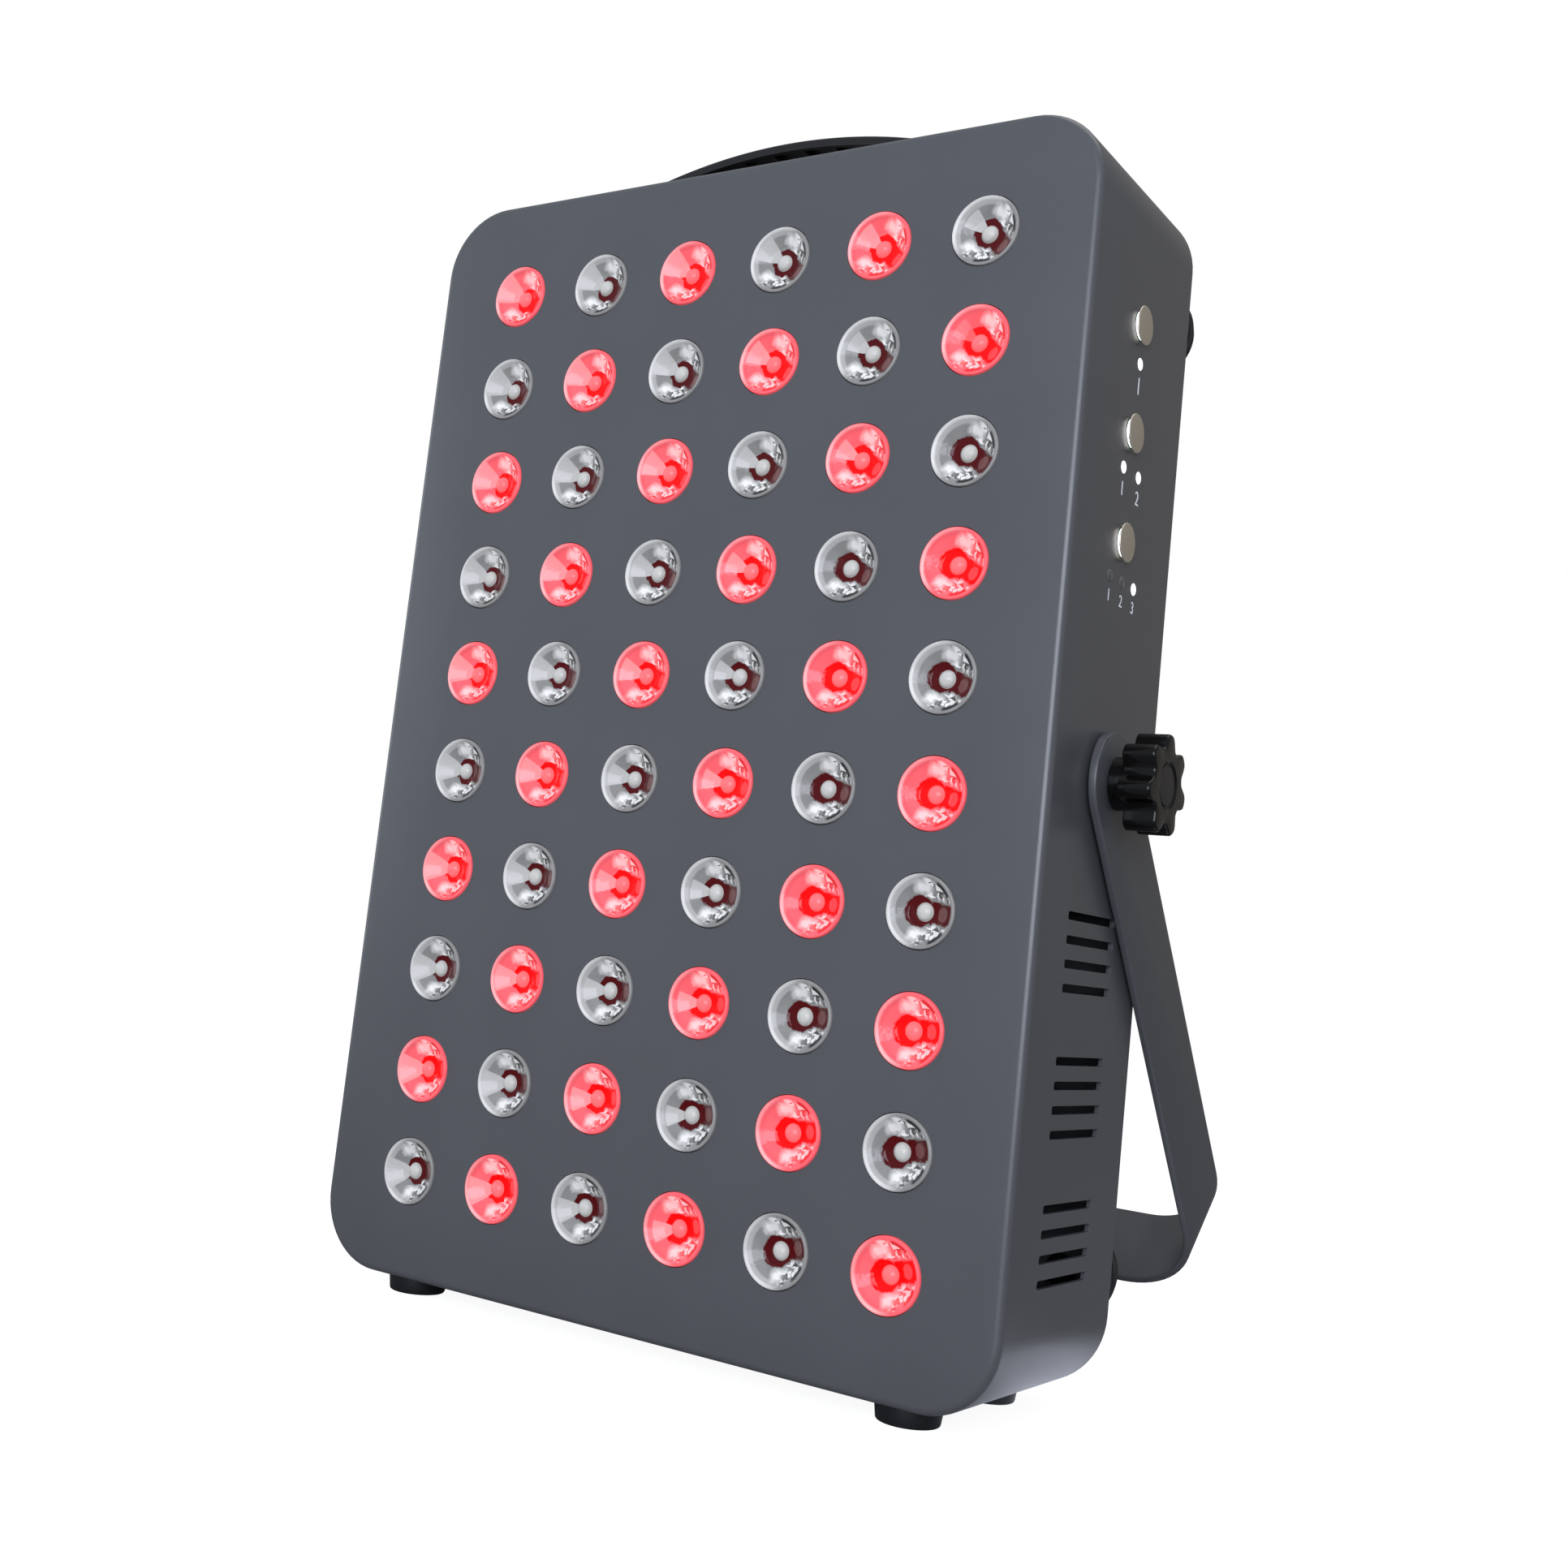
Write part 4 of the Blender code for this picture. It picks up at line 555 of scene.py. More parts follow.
def lens_pattern():
    """Masks of what shows in a lens: painted highlights, sparkles, light sectors, rim bands and
    dark glints, the emitter's ring, and its painted mirrored second ring.

    The first axis runs from the lens's centre toward the reflections' spot, one at the rim, and
    lean tells how far off that spot lies.
    """
    group = bpy.data.node_groups.new("lens_pattern", "ShaderNodeTree")
    for name in ("Bright", "Wedge", "Dark", "Edge", "Ring", "Second Ring", "Dome"):
        group.interface.new_socket(name, in_out="OUTPUT", socket_type="NodeSocketFloat")
    flat = node(group, "ShaderNodeUVMap", uv_map="lens").outputs[0]
    slope = node(group, "ShaderNodeUVMap", uv_map="lean").outputs[0]
    lean = node(group, "ShaderNodeSeparateXYZ", {0: slope}).outputs["X"]
    shake = node(group, "ShaderNodeTexVoronoi", {"Vector": flat, "Scale": 6.0})
    shift = node(group, "ShaderNodeVectorMath", {0: shake.outputs["Color"], 1: (0.5, 0.5, 0.5)},
                 operation="SUBTRACT")
    small = node(group, "ShaderNodeVectorMath", {0: shift.outputs[0], 3: 0.060},
                 operation="SCALE")
    jagged = node(group, "ShaderNodeVectorMath", {0: flat, 1: small.outputs[0]})
    parts = node(group, "ShaderNodeSeparateXYZ", {0: flat})
    broken = node(group, "ShaderNodeSeparateXYZ", {0: jagged.outputs[0]})
    u, v = parts.outputs["X"], parts.outputs["Y"]
    rough_u, rough_v = broken.outputs["X"], broken.outputs["Y"]

    def sum_of(first, second):
        return calculate(group, "ADD", first, second)

    def product(first, second):
        return calculate(group, "MULTIPLY", first, second)

    def most(first, second):
        return calculate(group, "MAXIMUM", first, second)

    def reach(x, y, centre):
        """How far a point is from a centre on the first axis."""
        shifted = calculate(group, "SUBTRACT", x, centre)
        return calculate(group, "SQRT", sum_of(product(shifted, shifted), product(y, y)))

    def band(value, low, high, soft=0.02):
        """One between low and high, nothing elsewhere, with soft ends."""
        rise = node(group, "ShaderNodeMapRange", {0: value, 1: low - soft, 2: low + soft})
        fall = node(group, "ShaderNodeMapRange", {0: value, 1: high + soft, 2: high - soft})
        return product(rise.outputs[0], fall.outputs[0])

    radius = reach(u, v, 0.0)
    away = calculate(group, "ABSOLUTE", v)
    rough_away = calculate(group, "ABSOLUTE", rough_v)
    angle = calculate(group, "ABSOLUTE", calculate(group, "ARCTAN2", v, u))
    ring_centre = node(group, "ShaderNodeMapRange", {0: lean, 1: 0.55, 2: 1.0, 3: -0.16, 4: 0.16})
    around = reach(rough_u, rough_v, ring_centre.outputs[0])
    ring = band(around, 0.10, 0.40)
    tail = product(band(rough_u, 0.15, 1.20), band(rough_away, -0.50, 0.28))
    ring = product(most(ring, tail), band(radius, 0.20, 0.90, 0.01))
    # Painted reflection of the emitter's ring in the lens's side wall.
    second_centre = node(group, "ShaderNodeMapRange", {0: lean, 1: 0.55, 2: 0.85, 3: 0.56,
                                                       4: 0.80})
    second = band(reach(u, v, second_centre.outputs[0]), -0.50, 0.19, 0.015)
    second = product(second, band(radius, 0.40, 0.90, 0.01))
    dome = band(radius, -0.50, 0.245, 0.01)
    # Painted reflection of a soft lamp: a light sector on the side away from the spot, in lenses far
    # enough from it.
    width = node(group, "ShaderNodeMapRange", {0: lean, 1: 0.60, 2: 1.0, 3: 0.36, 4: 0.62})
    left = calculate(group, "SUBTRACT", math.pi, angle)
    inside = band(calculate(group, "SUBTRACT", left, width.outputs[0]), -4.0, 0.0, 0.02)
    length = node(group, "ShaderNodeMapRange", {0: lean, 1: 0.70, 2: 0.88, 3: 0.74, 4: 0.90})
    beyond = calculate(group, "SUBTRACT", radius, length.outputs[0])
    painted_light_sector = product(product(inside, band(radius, 0.25, 1.50, 0.015)),
                    product(band(beyond, -4.0, 0.0, 0.02), band(lean, 0.65, 5.0, 0.01)))
    # Painted highlights, sparkles and a light crescent at the rim, and painted dark glints and dim
    # glitter.
    reflection_cells = node(group, "ShaderNodeTexVoronoi", {"Vector": jagged.outputs[0], "Scale": 7.0},
                  distance="CHEBYCHEV")
    glitter = node(group, "ShaderNodeSeparateColor", {0: reflection_cells.outputs["Color"]}).outputs[0]
    painted_patches = product(band(rough_away, 0.46, 0.74, 0.08), band(rough_u, -0.30, 0.16, 0.08))
    spread = product(band(rough_u, -0.05, 0.90, 0.08), band(rough_away, 0.34, 0.90, 0.05))
    painted_sparkle = product(product(spread, band(radius, 0.40, 0.88)), band(glitter, 0.52, 1.50, 0.05))
    painted_rim_crescent = product(band(radius, 0.87, 0.96, 0.03), band(u, -1.50, -0.30, 0.25))
    fading = node(group, "ShaderNodeMapRange", {0: v, 1: 0.5, 2: -0.6, 3: 0.35, 4: 0.75})
    painted_rim_crescent = product(painted_rim_crescent, fading.outputs[0])
    painted_highlight = most(most(painted_patches, painted_sparkle), painted_rim_crescent)
    painted_dim_glitter = product(product(spread, band(radius, 0.40, 0.84)), band(glitter, -0.50, 0.16, 0.03))
    painted_glint = product(band(radius, 0.80, 0.90, 0.015), band(angle, 0.55, 1.15, 0.05))
    dark = most(painted_glint, product(painted_dim_glitter, 0.75))
    # Painted rim highlight: a light band on the side away from the spot and a faint one all round.
    edge = most(product(band(radius, 0.76, 1.50, 0.02), band(u, -1.50, -0.10, 0.20)),
                product(band(radius, 0.95, 1.50, 0.01), 0.15))
    node(group, "NodeGroupOutput", {"Bright": painted_highlight, "Wedge": painted_light_sector, "Dark": dark,
                                    "Edge": edge, "Ring": ring, "Second Ring": second,
                                    "Dome": dome})
    return group


PATTERN = lens_pattern()


def lens_material(name, tones, glow):
    """Glossy moulded plastic that carries the lens pattern, painted reflections included, in its
    colours.
    """
    material = bpy.data.materials.new(name)
    material.use_nodes = True
    tree = material.node_tree
    shader = tree.nodes["Principled BSDF"]
    masks = node(tree, "ShaderNodeGroup", node_tree=PATTERN).outputs
    place = node(tree, "ShaderNodeTexCoord").outputs["Object"]
    cloud = node(tree, "ShaderNodeTexNoise", {"Vector": place, "Scale": 260.0, "Detail": 2.0})
    body = tones["Body"]
    colour = node(tree, "ShaderNodeMix", {0: cloud.outputs[0], 6: (*body, 1),
                                          7: (*[value * 1.5 for value in body], 1)},
                  data_type="RGBA").outputs[2]
    for mask in ("Edge", "Bright", "Ring", "Second Ring", "Wedge", "Dark", "Dome"):
        colour = node(tree, "ShaderNodeMix", {0: masks[mask], 6: colour, 7: (*tones[mask], 1)},
                      data_type="RGBA").outputs[2]
    tree.links.new(colour, shader.inputs["Base Color"])
    if glow > 0:
        tree.links.new(colour, shader.inputs["Emission Color"])
        shader.inputs["Emission Strength"].default_value = glow
    wave = node(tree, "ShaderNodeTexNoise", {"Vector": place, "Scale": 900.0, "Detail": 1.0})
    bump = node(tree, "ShaderNodeBump", {"Strength": 0.35, "Distance": 0.0002,
                                         "Height": wave.outputs[0]})
    tree.links.new(bump.outputs[0], shader.inputs["Normal"])
    smear = node(tree, "ShaderNodeMapRange", {0: cloud.outputs[0], 3: 0.08, 4: 0.18})
    tree.links.new(smear.outputs[0], shader.inputs["Roughness"])
    shader.inputs["Specular IOR Level"].default_value = 0.22
    return material


# Bright, Wedge, Dark, Edge and Second Ring tones are painted highlights and painted reflections.
clear_look = lens_material("lens_unlit", {
    "Body": (0.205, 0.197, 0.183), "Bright": (0.84, 0.81, 0.755), "Wedge": (0.50, 0.48, 0.445),
    "Dark": (0.030, 0.030, 0.028), "Edge": (0.42, 0.405, 0.375), "Ring": (0.075, 0.0010, 0.0020),
    "Second Ring": (0.160, 0.052, 0.048), "Dome": (0.56, 0.54, 0.49)}, 0.0)
lit_look = lens_material("lens_lit", {
    "Body": (0.66, 0.078, 0.090), "Bright": (0.84, 0.44, 0.43), "Wedge": (0.74, 0.215, 0.22),
    "Dark": (0.60, 0.020, 0.025), "Edge": (0.64, 0.085, 0.100), "Ring": (0.78, 0.0, 0.0005),
    "Second Ring": (0.72, 0.045, 0.050), "Dome": (0.68, 0.130, 0.135)}, 0.45)
unlit_lenses = lens_group("lenses_unlit", 1, clear_look)
lit_lenses = lens_group("lenses_lit", 0, lit_look)
board_green = finish("solder_mask_green", (0.020, 0.110, 0.045), 0.35, grain=900.0, depth=0.1,
                     mottle=0.12, wear=0.2, coat=0.3)
board_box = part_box("led_board")
BOARD_TOP = board_box[1].y - FRONT
board_outline = rounded(LENS_HALF_WIDTH + LENS_RADIUS + BOARD_MARGIN,
                        LENS_HALF_HEIGHT + LENS_RADIUS + BOARD_MARGIN, BOARD_MARGIN, 4)
emitter_board = piece("emitter_board", loft([[(x, y, z) for x, z in board_outline]
                                             for y in (BOARD_TOP - BOARD_THICKNESS, BOARD_TOP)]),
                      board_green, "panel", spot(0, 0, 0))
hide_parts("led_board")
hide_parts("led_board")
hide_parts("led_board")


# Buttons
#
# Flat turned metal caps on short stems. A glowing white sleeve shows between each cap and
# the wall; its glow is partly light from the sleeve and partly a painted highlight on the
# cap's side.

BUTTON_RADIUS = 0.0048
BUTTON_PROUD = 0.0013
BUTTON_CAP = 0.0006
BUTTON_STEM_REACH = 0.0060
CAP_CLEARANCE = 0.00008
CAP_EDGE = 0.00025


def turned_metal(name, colour, roughness, rings):
    """Metal with the fine round lines that a lathe leaves."""
    material = finish(name, colour, roughness, grain=1500.0, depth=0.05, mottle=0.05, wear=0.4,
                      metallic=1.0)
    tree = material.node_tree
    place = node(tree, "ShaderNodeTexCoord").outputs["Object"]
    lines = node(tree, "ShaderNodeTexWave", {"Vector": place, "Scale": rings},
                 wave_type="RINGS", rings_direction="Z")
    bump = node(tree, "ShaderNodeBump", {"Strength": 0.12, "Distance": 0.00005,
                                         "Height": lines.outputs["Fac"]})
    tree.links.new(bump.outputs[0], tree.nodes["Principled BSDF"].inputs["Normal"])
    return material


def glowing(name, colour, strength):
    """White light pipe plastic, brightest where it faces out."""
    material = finish(name, colour, 0.25, grain=1200.0, depth=0.05, mottle=0.03, wear=0.0)
    tree = material.node_tree
    shader = tree.nodes["Principled BSDF"]
    shader.inputs["Emission Color"].default_value = (0.95, 0.97, 1.0, 1)
    facing = node(tree, "ShaderNodeLayerWeight", {"Blend": 0.4}).outputs["Facing"]
    power = node(tree, "ShaderNodeMapRange", {0: facing, 3: strength, 4: strength * 0.5})
    tree.links.new(power.outputs[0], shader.inputs["Emission Strength"])
    return material


cap_metal = turned_metal("button_metal", (0.66, 0.60, 0.50), 0.45, 700.0)
lit_plastic = glowing("light_pipe_lit", (0.85, 0.87, 0.90), 1.6)
sleeve_glow_and_highlight = glowing("button_sleeve_glow_and_highlight", (0.80, 0.82, 0.85), 3.0)
under_cap = BUTTON_PROUD - BUTTON_CAP + CAP_CLEARANCE
for name, height in zip(("power_button", "mode_button", "timer_button"), BUTTON_HEIGHTS):
    place = spot(SIDE, BUTTON_BACK, height, TO_RIGHT)
    profile = eased([(0, -SHEET - BUTTON_STEM_REACH, 0),
                     (BUTTON_STEM_RADIUS, -SHEET - BUTTON_STEM_REACH, 0.0004),
                     (BUTTON_STEM_RADIUS, under_cap, 0), (BUTTON_RADIUS - 0.0004, under_cap, 0),
                     (BUTTON_RADIUS, under_cap + CAP_EDGE, 0.0001),
                     (BUTTON_RADIUS, BUTTON_PROUD, CAP_EDGE), (0, BUTTON_PROUD, 0)])
    cap = piece(name + "_cap", turned(profile), cap_metal, name, place)
    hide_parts(name)
    # Partly a painted highlight: the sleeve glows to show the bright band at the cap's side.
    cone = turned([(BUTTON_STEM_RADIUS + 0.00005, 0.00005), (BUTTON_STEM_RADIUS + 0.0010, 0.0001),
                   (BUTTON_STEM_RADIUS + 0.0006, under_cap - 0.0001),
                   (BUTTON_STEM_RADIUS + 0.00005, under_cap - 0.0001)], closed=True)
    piece(name + "_light", cone, sleeve_glow_and_highlight, name, place)


# Lamps and marks
#
# Small domed light pipes, one, two and three under the buttons, some of them lit. Plain
# printed numbers stand under them.

LAMP_DOME = 0.0003
LAMP_LENGTH = 0.0089
MARK_SIZES = (0.0062, 0.0050, 0.0042)
MARK_DROPS = (0.0058, 0.0054, 0.0048)
MARK_THICKNESS = 0.00002
MARK_PROUD = 0.00003
LAMP_NAMES = (("power_lamp",), ("mode_lamp_1", "mode_lamp_2"),
              ("timer_lamp_1", "timer_lamp_2", "timer_lamp_3"))
LIT_LAMPS = ("power_lamp", "mode_lamp_1", "mode_lamp_2", "timer_lamp_3")

dark_plastic = finish("light_pipe_unlit", (0.045, 0.046, 0.05), 0.12, grain=1200.0, depth=0.05,
                      mottle=0.05, wear=0.5, worn=(0.7, 0.7, 0.72), coat=0.8)
mark_paint = finish("printed_white", (0.92, 0.92, 0.94), 0.5, grain=3000.0, depth=0.1,
                    mottle=0.10, wear=0.0)
for row, index, depth, height in lamp_places():
    name = LAMP_NAMES[row][index]
    profile = eased([(0, -LAMP_LENGTH, 0), (LAMP_RADIUS, -LAMP_LENGTH, 0.0001),
                     (LAMP_RADIUS, 0, 0.0001)])
    for step in range(1, 5):
        angle = math.pi / 2 * step / 4
        profile.append((LAMP_RADIUS * math.cos(angle), LAMP_DOME * math.sin(angle)))
    material = lit_plastic if name in LIT_LAMPS else dark_plastic
    lamp = piece(name + "_dome", turned(profile, 32), material, "panel",
                 spot(SIDE, depth, height, TO_RIGHT))
    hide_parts(name)
    words = bpy.data.curves.new(name + "_mark", "FONT")
    words.body = str(index + 1)
    words.size = MARK_SIZES[row]
    words.align_x = "CENTER"
    words.align_y = "CENTER"
    words.extrude = MARK_THICKNESS
    words.materials.append(mark_paint)
    mark = bpy.data.objects.new(name + "_mark", words)
    upright = Matrix(((0, 0, 1), (1, 0, 0), (0, 1, 0))).to_4x4()
    mark.matrix_world = spot(SIDE + MARK_PROUD, depth, height - MARK_DROPS[row], upright)
    bpy.context.scene.collection.objects.link(mark)
    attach(mark, "panel")


# Stand
#
# One strip of flat steel bar with rounded ends, bent into a U and powder coated. Its arms
# hang on the two side knobs.

STAND_ANGLE = math.radians(40.5)
ARM_LENGTH = 0.1561
ARM_WIDTH = 0.0246
STRIP = 0.0020
BEND_RADIUS = 0.0205
ARM_GAP = 0.0010
STRIP_EDGE = 0.00045
stand_coat = finish("stand_coat_grey", (0.062, 0.064, 0.068), 0.42, grain=2600.0, depth=0.16,
                    mottle=0.05, wear=0.35)


def strap_half():
    """Sections of the right half, from the arm's end to the middle: place, way out, width."""
    middle = SIDE + ARM_GAP + STRIP / 2
    bend_top = -(ARM_LENGTH - STRIP - BEND_RADIUS)
    sections = []
    for step in range(13):
        angle = math.pi / 2 * step / 12
        half = max(ARM_WIDTH / 2 * math.sin(angle), 2.2 * STRIP_EDGE)
        sections.append(((middle, ARM_WIDTH / 2 * math.cos(angle)), (1, 0), half))
    sections.append(((middle, bend_top), (1, 0), ARM_WIDTH / 2))
    centre = (middle - STRIP / 2 - BEND_RADIUS, bend_top)
    for step in range(1, 17):
        angle = math.pi / 2 * step / 16
        out = (math.cos(angle), -math.sin(angle))
        reach = BEND_RADIUS + STRIP / 2
        sections.append(((centre[0] + out[0] * reach, centre[1] + out[1] * reach), out,
                         ARM_WIDTH / 2))
    return sections


right_half = strap_half()
left_half = [((-x, z), (-a, b), half) for (x, z), (a, b), half in right_half]
rings = []
for (x, z), (a, b), half in right_half + left_half[::-1]:
    rings.append([(x + a * u, v, z + b * u) for u, v in rounded(STRIP / 2, half, STRIP_EDGE, 3)])
swing = Matrix.Rotation(STAND_ANGLE, 4, "X")
stand_place = spot(0, PIVOT_BACK, -PIVOT_DROP, swing)
strap = piece("stand_strap", loft(rings), stand_coat, "stand", stand_place,
              [(rod(STUD_RADIUS + STUD_CLEARANCE, 2 * SIDE + 0.02), stand_place @ TO_RIGHT)])
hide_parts("stand_bracket")


# Knobs
#
# Black moulded hand knobs with seven rounded lobes, an inset round cap in the face and a
# steel stud through arm and wall into a nut.

KNOB_REACH = 0.0158
KNOB_HEAD = 0.0080
KNOB_TIP_RADIUS = 0.0121
KNOB_VALLEY_RADIUS = 0.0090
KNOB_BARREL_RADIUS = 0.0064
KNOB_CAP_RADIUS = 0.0048
KNOB_LOBES = 7
KNOB_POINTS = KNOB_LOBES * 14
KNOB_GAP = 0.0003
KNOB_BACK_EDGE = 0.0004
KNOB_FRONT_EDGE = 0.0007
STUD_END = -0.0075
gloss_black = finish("knob_black", (0.0030, 0.0028, 0.0026), 0.12, grain=1400.0, depth=0.04,
                     mottle=0.10, wear=0.10, sheen=0.24)
satin_black = finish("knob_cap_black", (0.020, 0.017, 0.015), 0.50, grain=1600.0, depth=0.10,
                     mottle=0.10, wear=0.2, sheen=0.35)
zinc_steel = finish("zinc_plated_steel", (0.55, 0.55, 0.56), 0.30, grain=1100.0, depth=0.08,
                    mottle=0.10, wear=0.3, metallic=1.0)


def lobed(shrink):
    """The knob's outline drawn in by an amount."""
    points = []
    for step in range(KNOB_POINTS):
        angle = math.tau * step / KNOB_POINTS
        wave = (1 + math.cos(KNOB_LOBES * (angle - math.pi))) / 2
        swell = wave * wave * (3 - 2 * wave)
        radius = KNOB_VALLEY_RADIUS + (KNOB_TIP_RADIUS - KNOB_VALLEY_RADIUS) * swell - shrink
        points.append((radius * math.cos(angle), radius * math.sin(angle)))
    return points


for side_name, across, turn in (("left", -1, TO_LEFT), ("right", 1, TO_RIGHT)):
    place = spot(across * SIDE, PIVOT_BACK, -PIVOT_DROP, turn)
    back = ARM_GAP + STRIP + KNOB_GAP
    head = KNOB_REACH - KNOB_HEAD
    layers = [(circle(KNOB_BARREL_RADIUS - 0.0003, KNOB_POINTS), back),
              (circle(KNOB_BARREL_RADIUS, KNOB_POINTS), back + 0.0003),
              (circle(KNOB_BARREL_RADIUS, KNOB_POINTS), head - 0.0006),
              (circle(KNOB_BARREL_RADIUS + 0.0006, KNOB_POINTS), head)]
    for edge, level, way in ((KNOB_BACK_EDGE, head, 1), (KNOB_FRONT_EDGE, KNOB_REACH, -1)):
        for step in range(6):
            angle = math.pi / 2 * (step if way > 0 else 5 - step) / 5
            layers.append((lobed(edge * (1 - math.sin(angle))),
                           level + way * edge * (1 - math.cos(angle))))
    layers += [(circle(KNOB_CAP_RADIUS + 0.0010, KNOB_POINTS), KNOB_REACH - 0.0001),
               (circle(KNOB_CAP_RADIUS + 0.0002, KNOB_POINTS), KNOB_REACH - 0.0008),
               (circle(KNOB_CAP_RADIUS * 0.5, KNOB_POINTS), KNOB_REACH - 0.0010)]
    shape = loft([[(x, y, z) for x, y in outline] for outline, z in layers])
    knob = piece(f"hand_knob_{side_name}", shape, gloss_black, f"knob_{side_name}",
                 place)
    piece(f"knob_stud_{side_name}", rod(STUD_RADIUS, back - STUD_END), zinc_steel,
          f"knob_{side_name}",
          place @ Matrix.Translation((0, 0, (back + STUD_END) / 2)))
    disc = eased([(0, KNOB_REACH - 0.0020, 0), (KNOB_CAP_RADIUS, KNOB_REACH - 0.0020, 0.0001),
                  (KNOB_CAP_RADIUS, KNOB_REACH - 0.0003, 0.0002), (0, KNOB_REACH - 0.0002, 0)])
    piece(f"knob_cap_{side_name}", turned(disc), satin_black, f"knob_{side_name}",
          place)
    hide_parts(f"knob_{side_name}")


# Feet and bumpers
#
# Tapered black rubber feet pushed into the case's floor, and squat ribbed rubber bumpers on
# the back.

FOOT_HEIGHT = 0.0045
FOOT_TOP_RADIUS = 0.0080
FOOT_BOTTOM_RADIUS = 0.0074
BUMPER_RADIUS = 0.0122
BUMPER_HEIGHT = 0.0115
BUMPER_CROWN_RADIUS = 0.0100
BUMPER_CROWN_EDGE = 0.0018
BUMPER_RIBS = 3
BUMPER_RIB_PITCH = 0.0019
BUMPER_RIB_STEP = 0.0006
BUMPER_INSET = 0.0125
BUMPER_HEIGHTS = (TOP - 0.0323, 0.0275 - TOP)
REST_GAP = 0.0003
PLUG_RADIUS = 0.0030
PLUG_HEAD_RADIUS = 0.0042
PLUG_TIP_RADIUS = 0.0022
PLUG_HEAD_HEIGHT = 0.0022
rubber = finish("black_rubber", (0.006, 0.006, 0.0065), 0.45, grain=1600.0, depth=0.22,
                mottle=0.20, wear=0.4, worn=(0.025, 0.025, 0.027), sheen=0.30)


def plug(start):
    """A push-in stem through the sheet with its holding head."""
    inside = start + SHEET + 0.0006
    return [(PLUG_RADIUS, start), (PLUG_RADIUS, inside), (PLUG_HEAD_RADIUS, inside),
            (PLUG_HEAD_RADIUS - 0.0004, inside + 0.0008),
            (PLUG_TIP_RADIUS, inside + PLUG_HEAD_HEIGHT), (0, inside + PLUG_HEAD_HEIGHT)]


foot_names = ("foot_front_left", "foot_front_right", "foot_rear_left", "foot_rear_right")
foot_spots = [(across, depth) for depth in FOOT_DEPTHS for across in FOOT_ACROSS]
for name, (x, depth) in zip(foot_names, foot_spots):
    seat = FOOT_HEIGHT - REST_GAP
    profile = eased([(0, 0, 0), (FOOT_BOTTOM_RADIUS, 0, 0.0006),
                     (FOOT_TOP_RADIUS, seat, 0.0002), (0.0032, seat, 0)])
    foot = piece(name + "_rubber", turned(profile + plug(seat)), rubber, "panel",
                 spot(x, depth, -TOP - FOOT_HEIGHT))
    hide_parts(name)
bumper_names = ("bumper_upper_left", "bumper_upper_right", "bumper_lower_left",
                "bumper_lower_right")
bumper_spots = [(across * (SIDE - BUMPER_INSET), height) for height in BUMPER_HEIGHTS
                for across in (-1, 1)]
for name, (x, height) in zip(bumper_names, bumper_spots):
    profile = [(0, BUMPER_HEIGHT - 0.0005), (0.0050, BUMPER_HEIGHT - 0.0002)]
    for step in range(7):
        angle = math.pi / 2 * step / 6
        profile.append((BUMPER_CROWN_RADIUS - BUMPER_CROWN_EDGE * (1 - math.sin(angle)),
                        BUMPER_HEIGHT - BUMPER_CROWN_EDGE * (1 - math.cos(angle))))
    for rib in range(BUMPER_RIBS):
        level = BUMPER_HEIGHT - 0.0026 - rib * BUMPER_RIB_PITCH
        wide = BUMPER_CROWN_RADIUS + 0.0007 + rib * BUMPER_RIB_STEP
        profile += [(wide - 0.0004, level + 0.0005), (wide, level), (wide, level - 0.0006),
                    (wide - 0.0005, level - 0.0010)]
    profile += [(BUMPER_RADIUS - 0.0002, 0.0008), (BUMPER_RADIUS, 0.0004), (BUMPER_RADIUS, 0)]
    seat = [(radius, -depth) for radius, depth in plug(0)]
    bumper = piece(name + "_rubber", turned(profile + seat), rubber, "panel",
                   spot(x, PANEL_DEPTH + REST_GAP, height, TO_BACK))
    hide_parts(name)


# Handle
#
# A low black plastic strap over the top, hollow underneath between cross ribs, screwed on
# from inside the case.

HANDLE_RISE = 0.0139
HANDLE_LENGTH = 0.1240
HANDLE_END = 0.0014
HANDLE_WIDTH = 0.0264
HANDLE_THICKNESS = 0.0026
HANDLE_WALL = 0.0014
HANDLE_BACK = 0.0180
HANDLE_EDGE = 0.0010
HANDLE_SKIN = 0.0013
POCKETS = 9
POCKET_PITCH = 0.0098
POCKET_HALF = 0.0042
crown = HANDLE_RISE - HANDLE_END
ARC_RADIUS = ((HANDLE_LENGTH / 2) ** 2 + crown ** 2) / (2 * crown)
SUNK = ARC_RADIUS - HANDLE_RISE
handle_black = finish("handle_black", (0.007, 0.007, 0.0075), 0.38, grain=1500.0, depth=0.18,
                      mottle=0.15, wear=0.35, sheen=0.35)


def arch(radius, half_angle, steps=40):
    """Points of an arc over the case's top, from left to right."""
    return [(radius * math.sin(half_angle * (2 * step / steps - 1)),
             radius * math.cos(half_angle * (2 * step / steps - 1)) - SUNK)
            for step in range(steps + 1)]


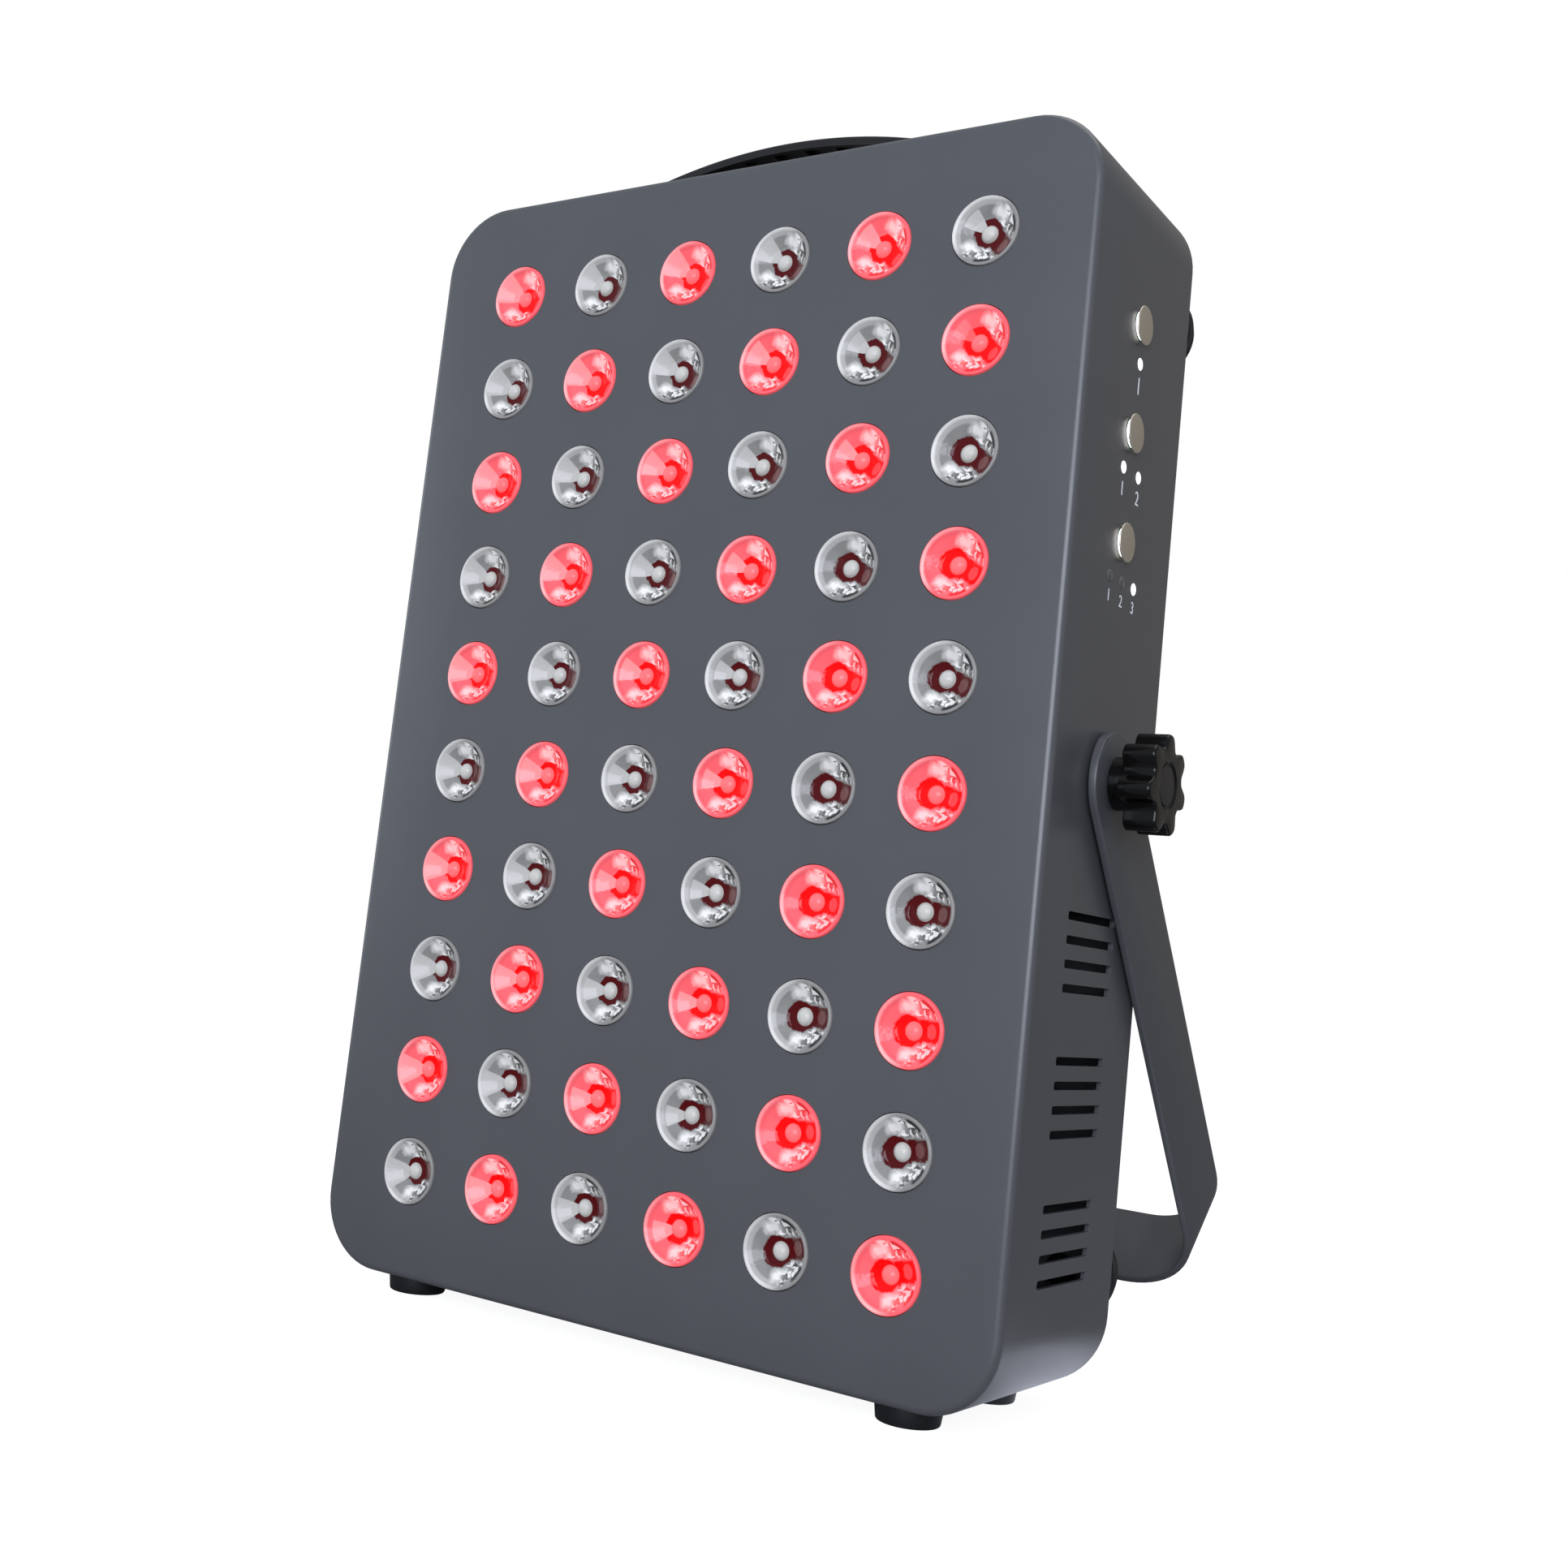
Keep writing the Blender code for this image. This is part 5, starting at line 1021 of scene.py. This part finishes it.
under_radius = ARC_RADIUS - HANDLE_THICKNESS
top_angle = math.asin(HANDLE_LENGTH / 2 / ARC_RADIUS)
under_angle = math.acos(SUNK / under_radius)
under = [(HANDLE_LENGTH / 2, 0)] + arch(under_radius, under_angle)[::-1]
under.append((-HANDLE_LENGTH / 2, 0))
layers = []
for step in range(5):
    angle = math.pi / 2 * step / 4
    drop = HANDLE_EDGE * (1 - math.sin(angle))
    layers.append((arch(ARC_RADIUS - drop, top_angle) + under,
                   HANDLE_EDGE * (1 - math.cos(angle))))
layers += [(outline, HANDLE_WIDTH - height) for outline, height in layers[::-1]]
hollow = HANDLE_WIDTH - 2 * HANDLE_WALL
cuts = []
for index in range(POCKETS):
    turn = (index - POCKETS // 2) * POCKET_PITCH / under_radius
    half = POCKET_HALF / under_radius
    corners = [(radius * math.sin(turn + side * half), radius * math.cos(turn + side * half) - SUNK)
               for radius, side in ((ARC_RADIUS - HANDLE_SKIN, -1), (ARC_RADIUS - HANDLE_SKIN, 1),
                                    (under_radius - 0.001, 1), (under_radius - 0.001, -1))]
    cuts.append((loft([[(x, y, z) for x, y in corners] for z in (0, hollow)]),
                 spot(0, HANDLE_BACK + (HANDLE_WIDTH + hollow) / 2, TOP + REST_GAP, TO_FRONT)))
handle = piece("handle_strap", loft([[(x, y, z) for x, y in outline] for outline, z in layers]),
               handle_black, "panel",
               spot(0, HANDLE_BACK + HANDLE_WIDTH, TOP + REST_GAP, TO_FRONT), cuts)
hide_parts("handle")


# Screws on the back
#
# Zinc-plated pan-head screws with cross recesses hold the cover and the fans.

SCREW_INSET = 0.0045
SCREW_DROP = 0.0586
COVER_SCREWS = [(across * (SIDE - SHEET - SCREW_INSET), up * (TOP - SCREW_DROP))
                for across in (-1, 1) for up in (-1, 1)]
COVER_SCREWS += [(0, up * (TOP - SHEET - SCREW_INSET)) for up in (-1, 1)]
FAN_RISES = (0.0720, -0.0160)
FAN_SCREW_PITCH = 0.0715
COVER_SCREW_SIZES = (0.0015, 0.0070, 0.0030, 0.0018)
FAN_SCREW_SIZES = (0.0018, 0.0100, 0.0034, 0.0020)


def screw_shape(radius, length, head_radius, head_height):
    """A pan-head screw, its head above zero."""
    profile = eased([(0, -length, 0), (radius * 0.6, -length, 0), (radius, 0.0006 - length, 0),
                     (radius, 0, 0), (head_radius, 0, 0.0001),
                     (head_radius * 0.86, head_height, head_height * 0.55), (0, head_height, 0)])
    return turned(profile, 28)


def cross_recess(head_radius, head_height, place):
    """Two crossed bars that cut a driver recess."""
    bars = []
    for turn in (0, math.pi / 2):
        half = (head_radius * 0.62, head_radius * 0.14)
        outline = [(-half[0], -half[1]), (half[0], -half[1]), (half[0], half[1]),
                   (-half[0], half[1])]
        bar = loft([[(x, y, z) for x, y in outline] for z in (head_height * 0.45,
                                                              head_height * 1.5)])
        bars.append((bar, place @ Matrix.Rotation(turn, 4, "Z")))
    return bars


def screw_set(name, places, sizes, nodes):
    """All screws of one size as one piece. Sizes are radius, length, head radius and height."""
    shapes = []
    cuts = []
    for x, height in places:
        place = spot(x, PANEL_DEPTH + REST_GAP, height, TO_BACK)
        shapes.append((screw_shape(*sizes), place))
        cuts += cross_recess(sizes[2], sizes[3], place)
    made = piece(name, gathered(shapes), zinc_steel, "panel", cuts=cuts)
    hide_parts(*nodes)


screw_set("cover_screws", COVER_SCREWS, COVER_SCREW_SIZES,
          [f"cover_screw_{number}" for number in range(1, 7)])
for level_name, rise in zip(("upper", "lower"), FAN_RISES):
    places = [(across * FAN_SCREW_PITCH / 2, rise + up * FAN_SCREW_PITCH / 2)
              for up in (1, -1) for across in (-1, 1)]
    screw_set(f"fan_screws_{level_name}", places, FAN_SCREW_SIZES,
              [f"fan_screw_{level_name}_{number}" for number in range(1, 5)])


# Pieces kept as modelled
#
# The cover, fans, inlet, switch and everything inside the case keep their modelled shapes
# and get their real finishes.

fan_plastic = finish("fan_black", (0.014, 0.014, 0.015), 0.45, grain=1300.0, depth=0.2,
                     mottle=0.15, wear=0.4)
inlet_plastic = finish("inlet_black", (0.012, 0.012, 0.013), 0.38, grain=1500.0, depth=0.15,
                       mottle=0.12, wear=0.4)
aluminium = finish("extruded_aluminium", (0.68, 0.69, 0.70), 0.34, grain=700.0, depth=0.15,
                   mottle=0.08, wear=0.4, metallic=1.0)
black_nylon = finish("black_nylon", (0.015, 0.015, 0.016), 0.5, grain=1200.0, depth=0.12,
                     mottle=0.10, wear=0.2)
KEPT = {"rear_cover": powder_coat, "heat_sink": aluminium, "driver_case": aluminium,
        "control_board": board_green, "power_inlet": inlet_plastic,
        "switch_frame": inlet_plastic, "switch_rocker": inlet_plastic}
for side_name in ("left", "right"):
    KEPT[f"pivot_washer_{side_name}"] = black_nylon
    KEPT[f"pivot_nut_{side_name}"] = zinc_steel
    KEPT[f"handle_screw_{side_name}"] = zinc_steel
    for level_name in ("upper", "lower"):
        KEPT[f"sink_post_{level_name}_{side_name}"] = zinc_steel
for level_name in ("upper", "lower"):
    KEPT[f"fan_frame_{level_name}"] = fan_plastic
    KEPT[f"fan_rotor_{level_name}"] = fan_plastic
for name, material in KEPT.items():
    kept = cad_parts[name]
    kept.material_slots[0].link = "OBJECT"
    kept.material_slots[0].material = material
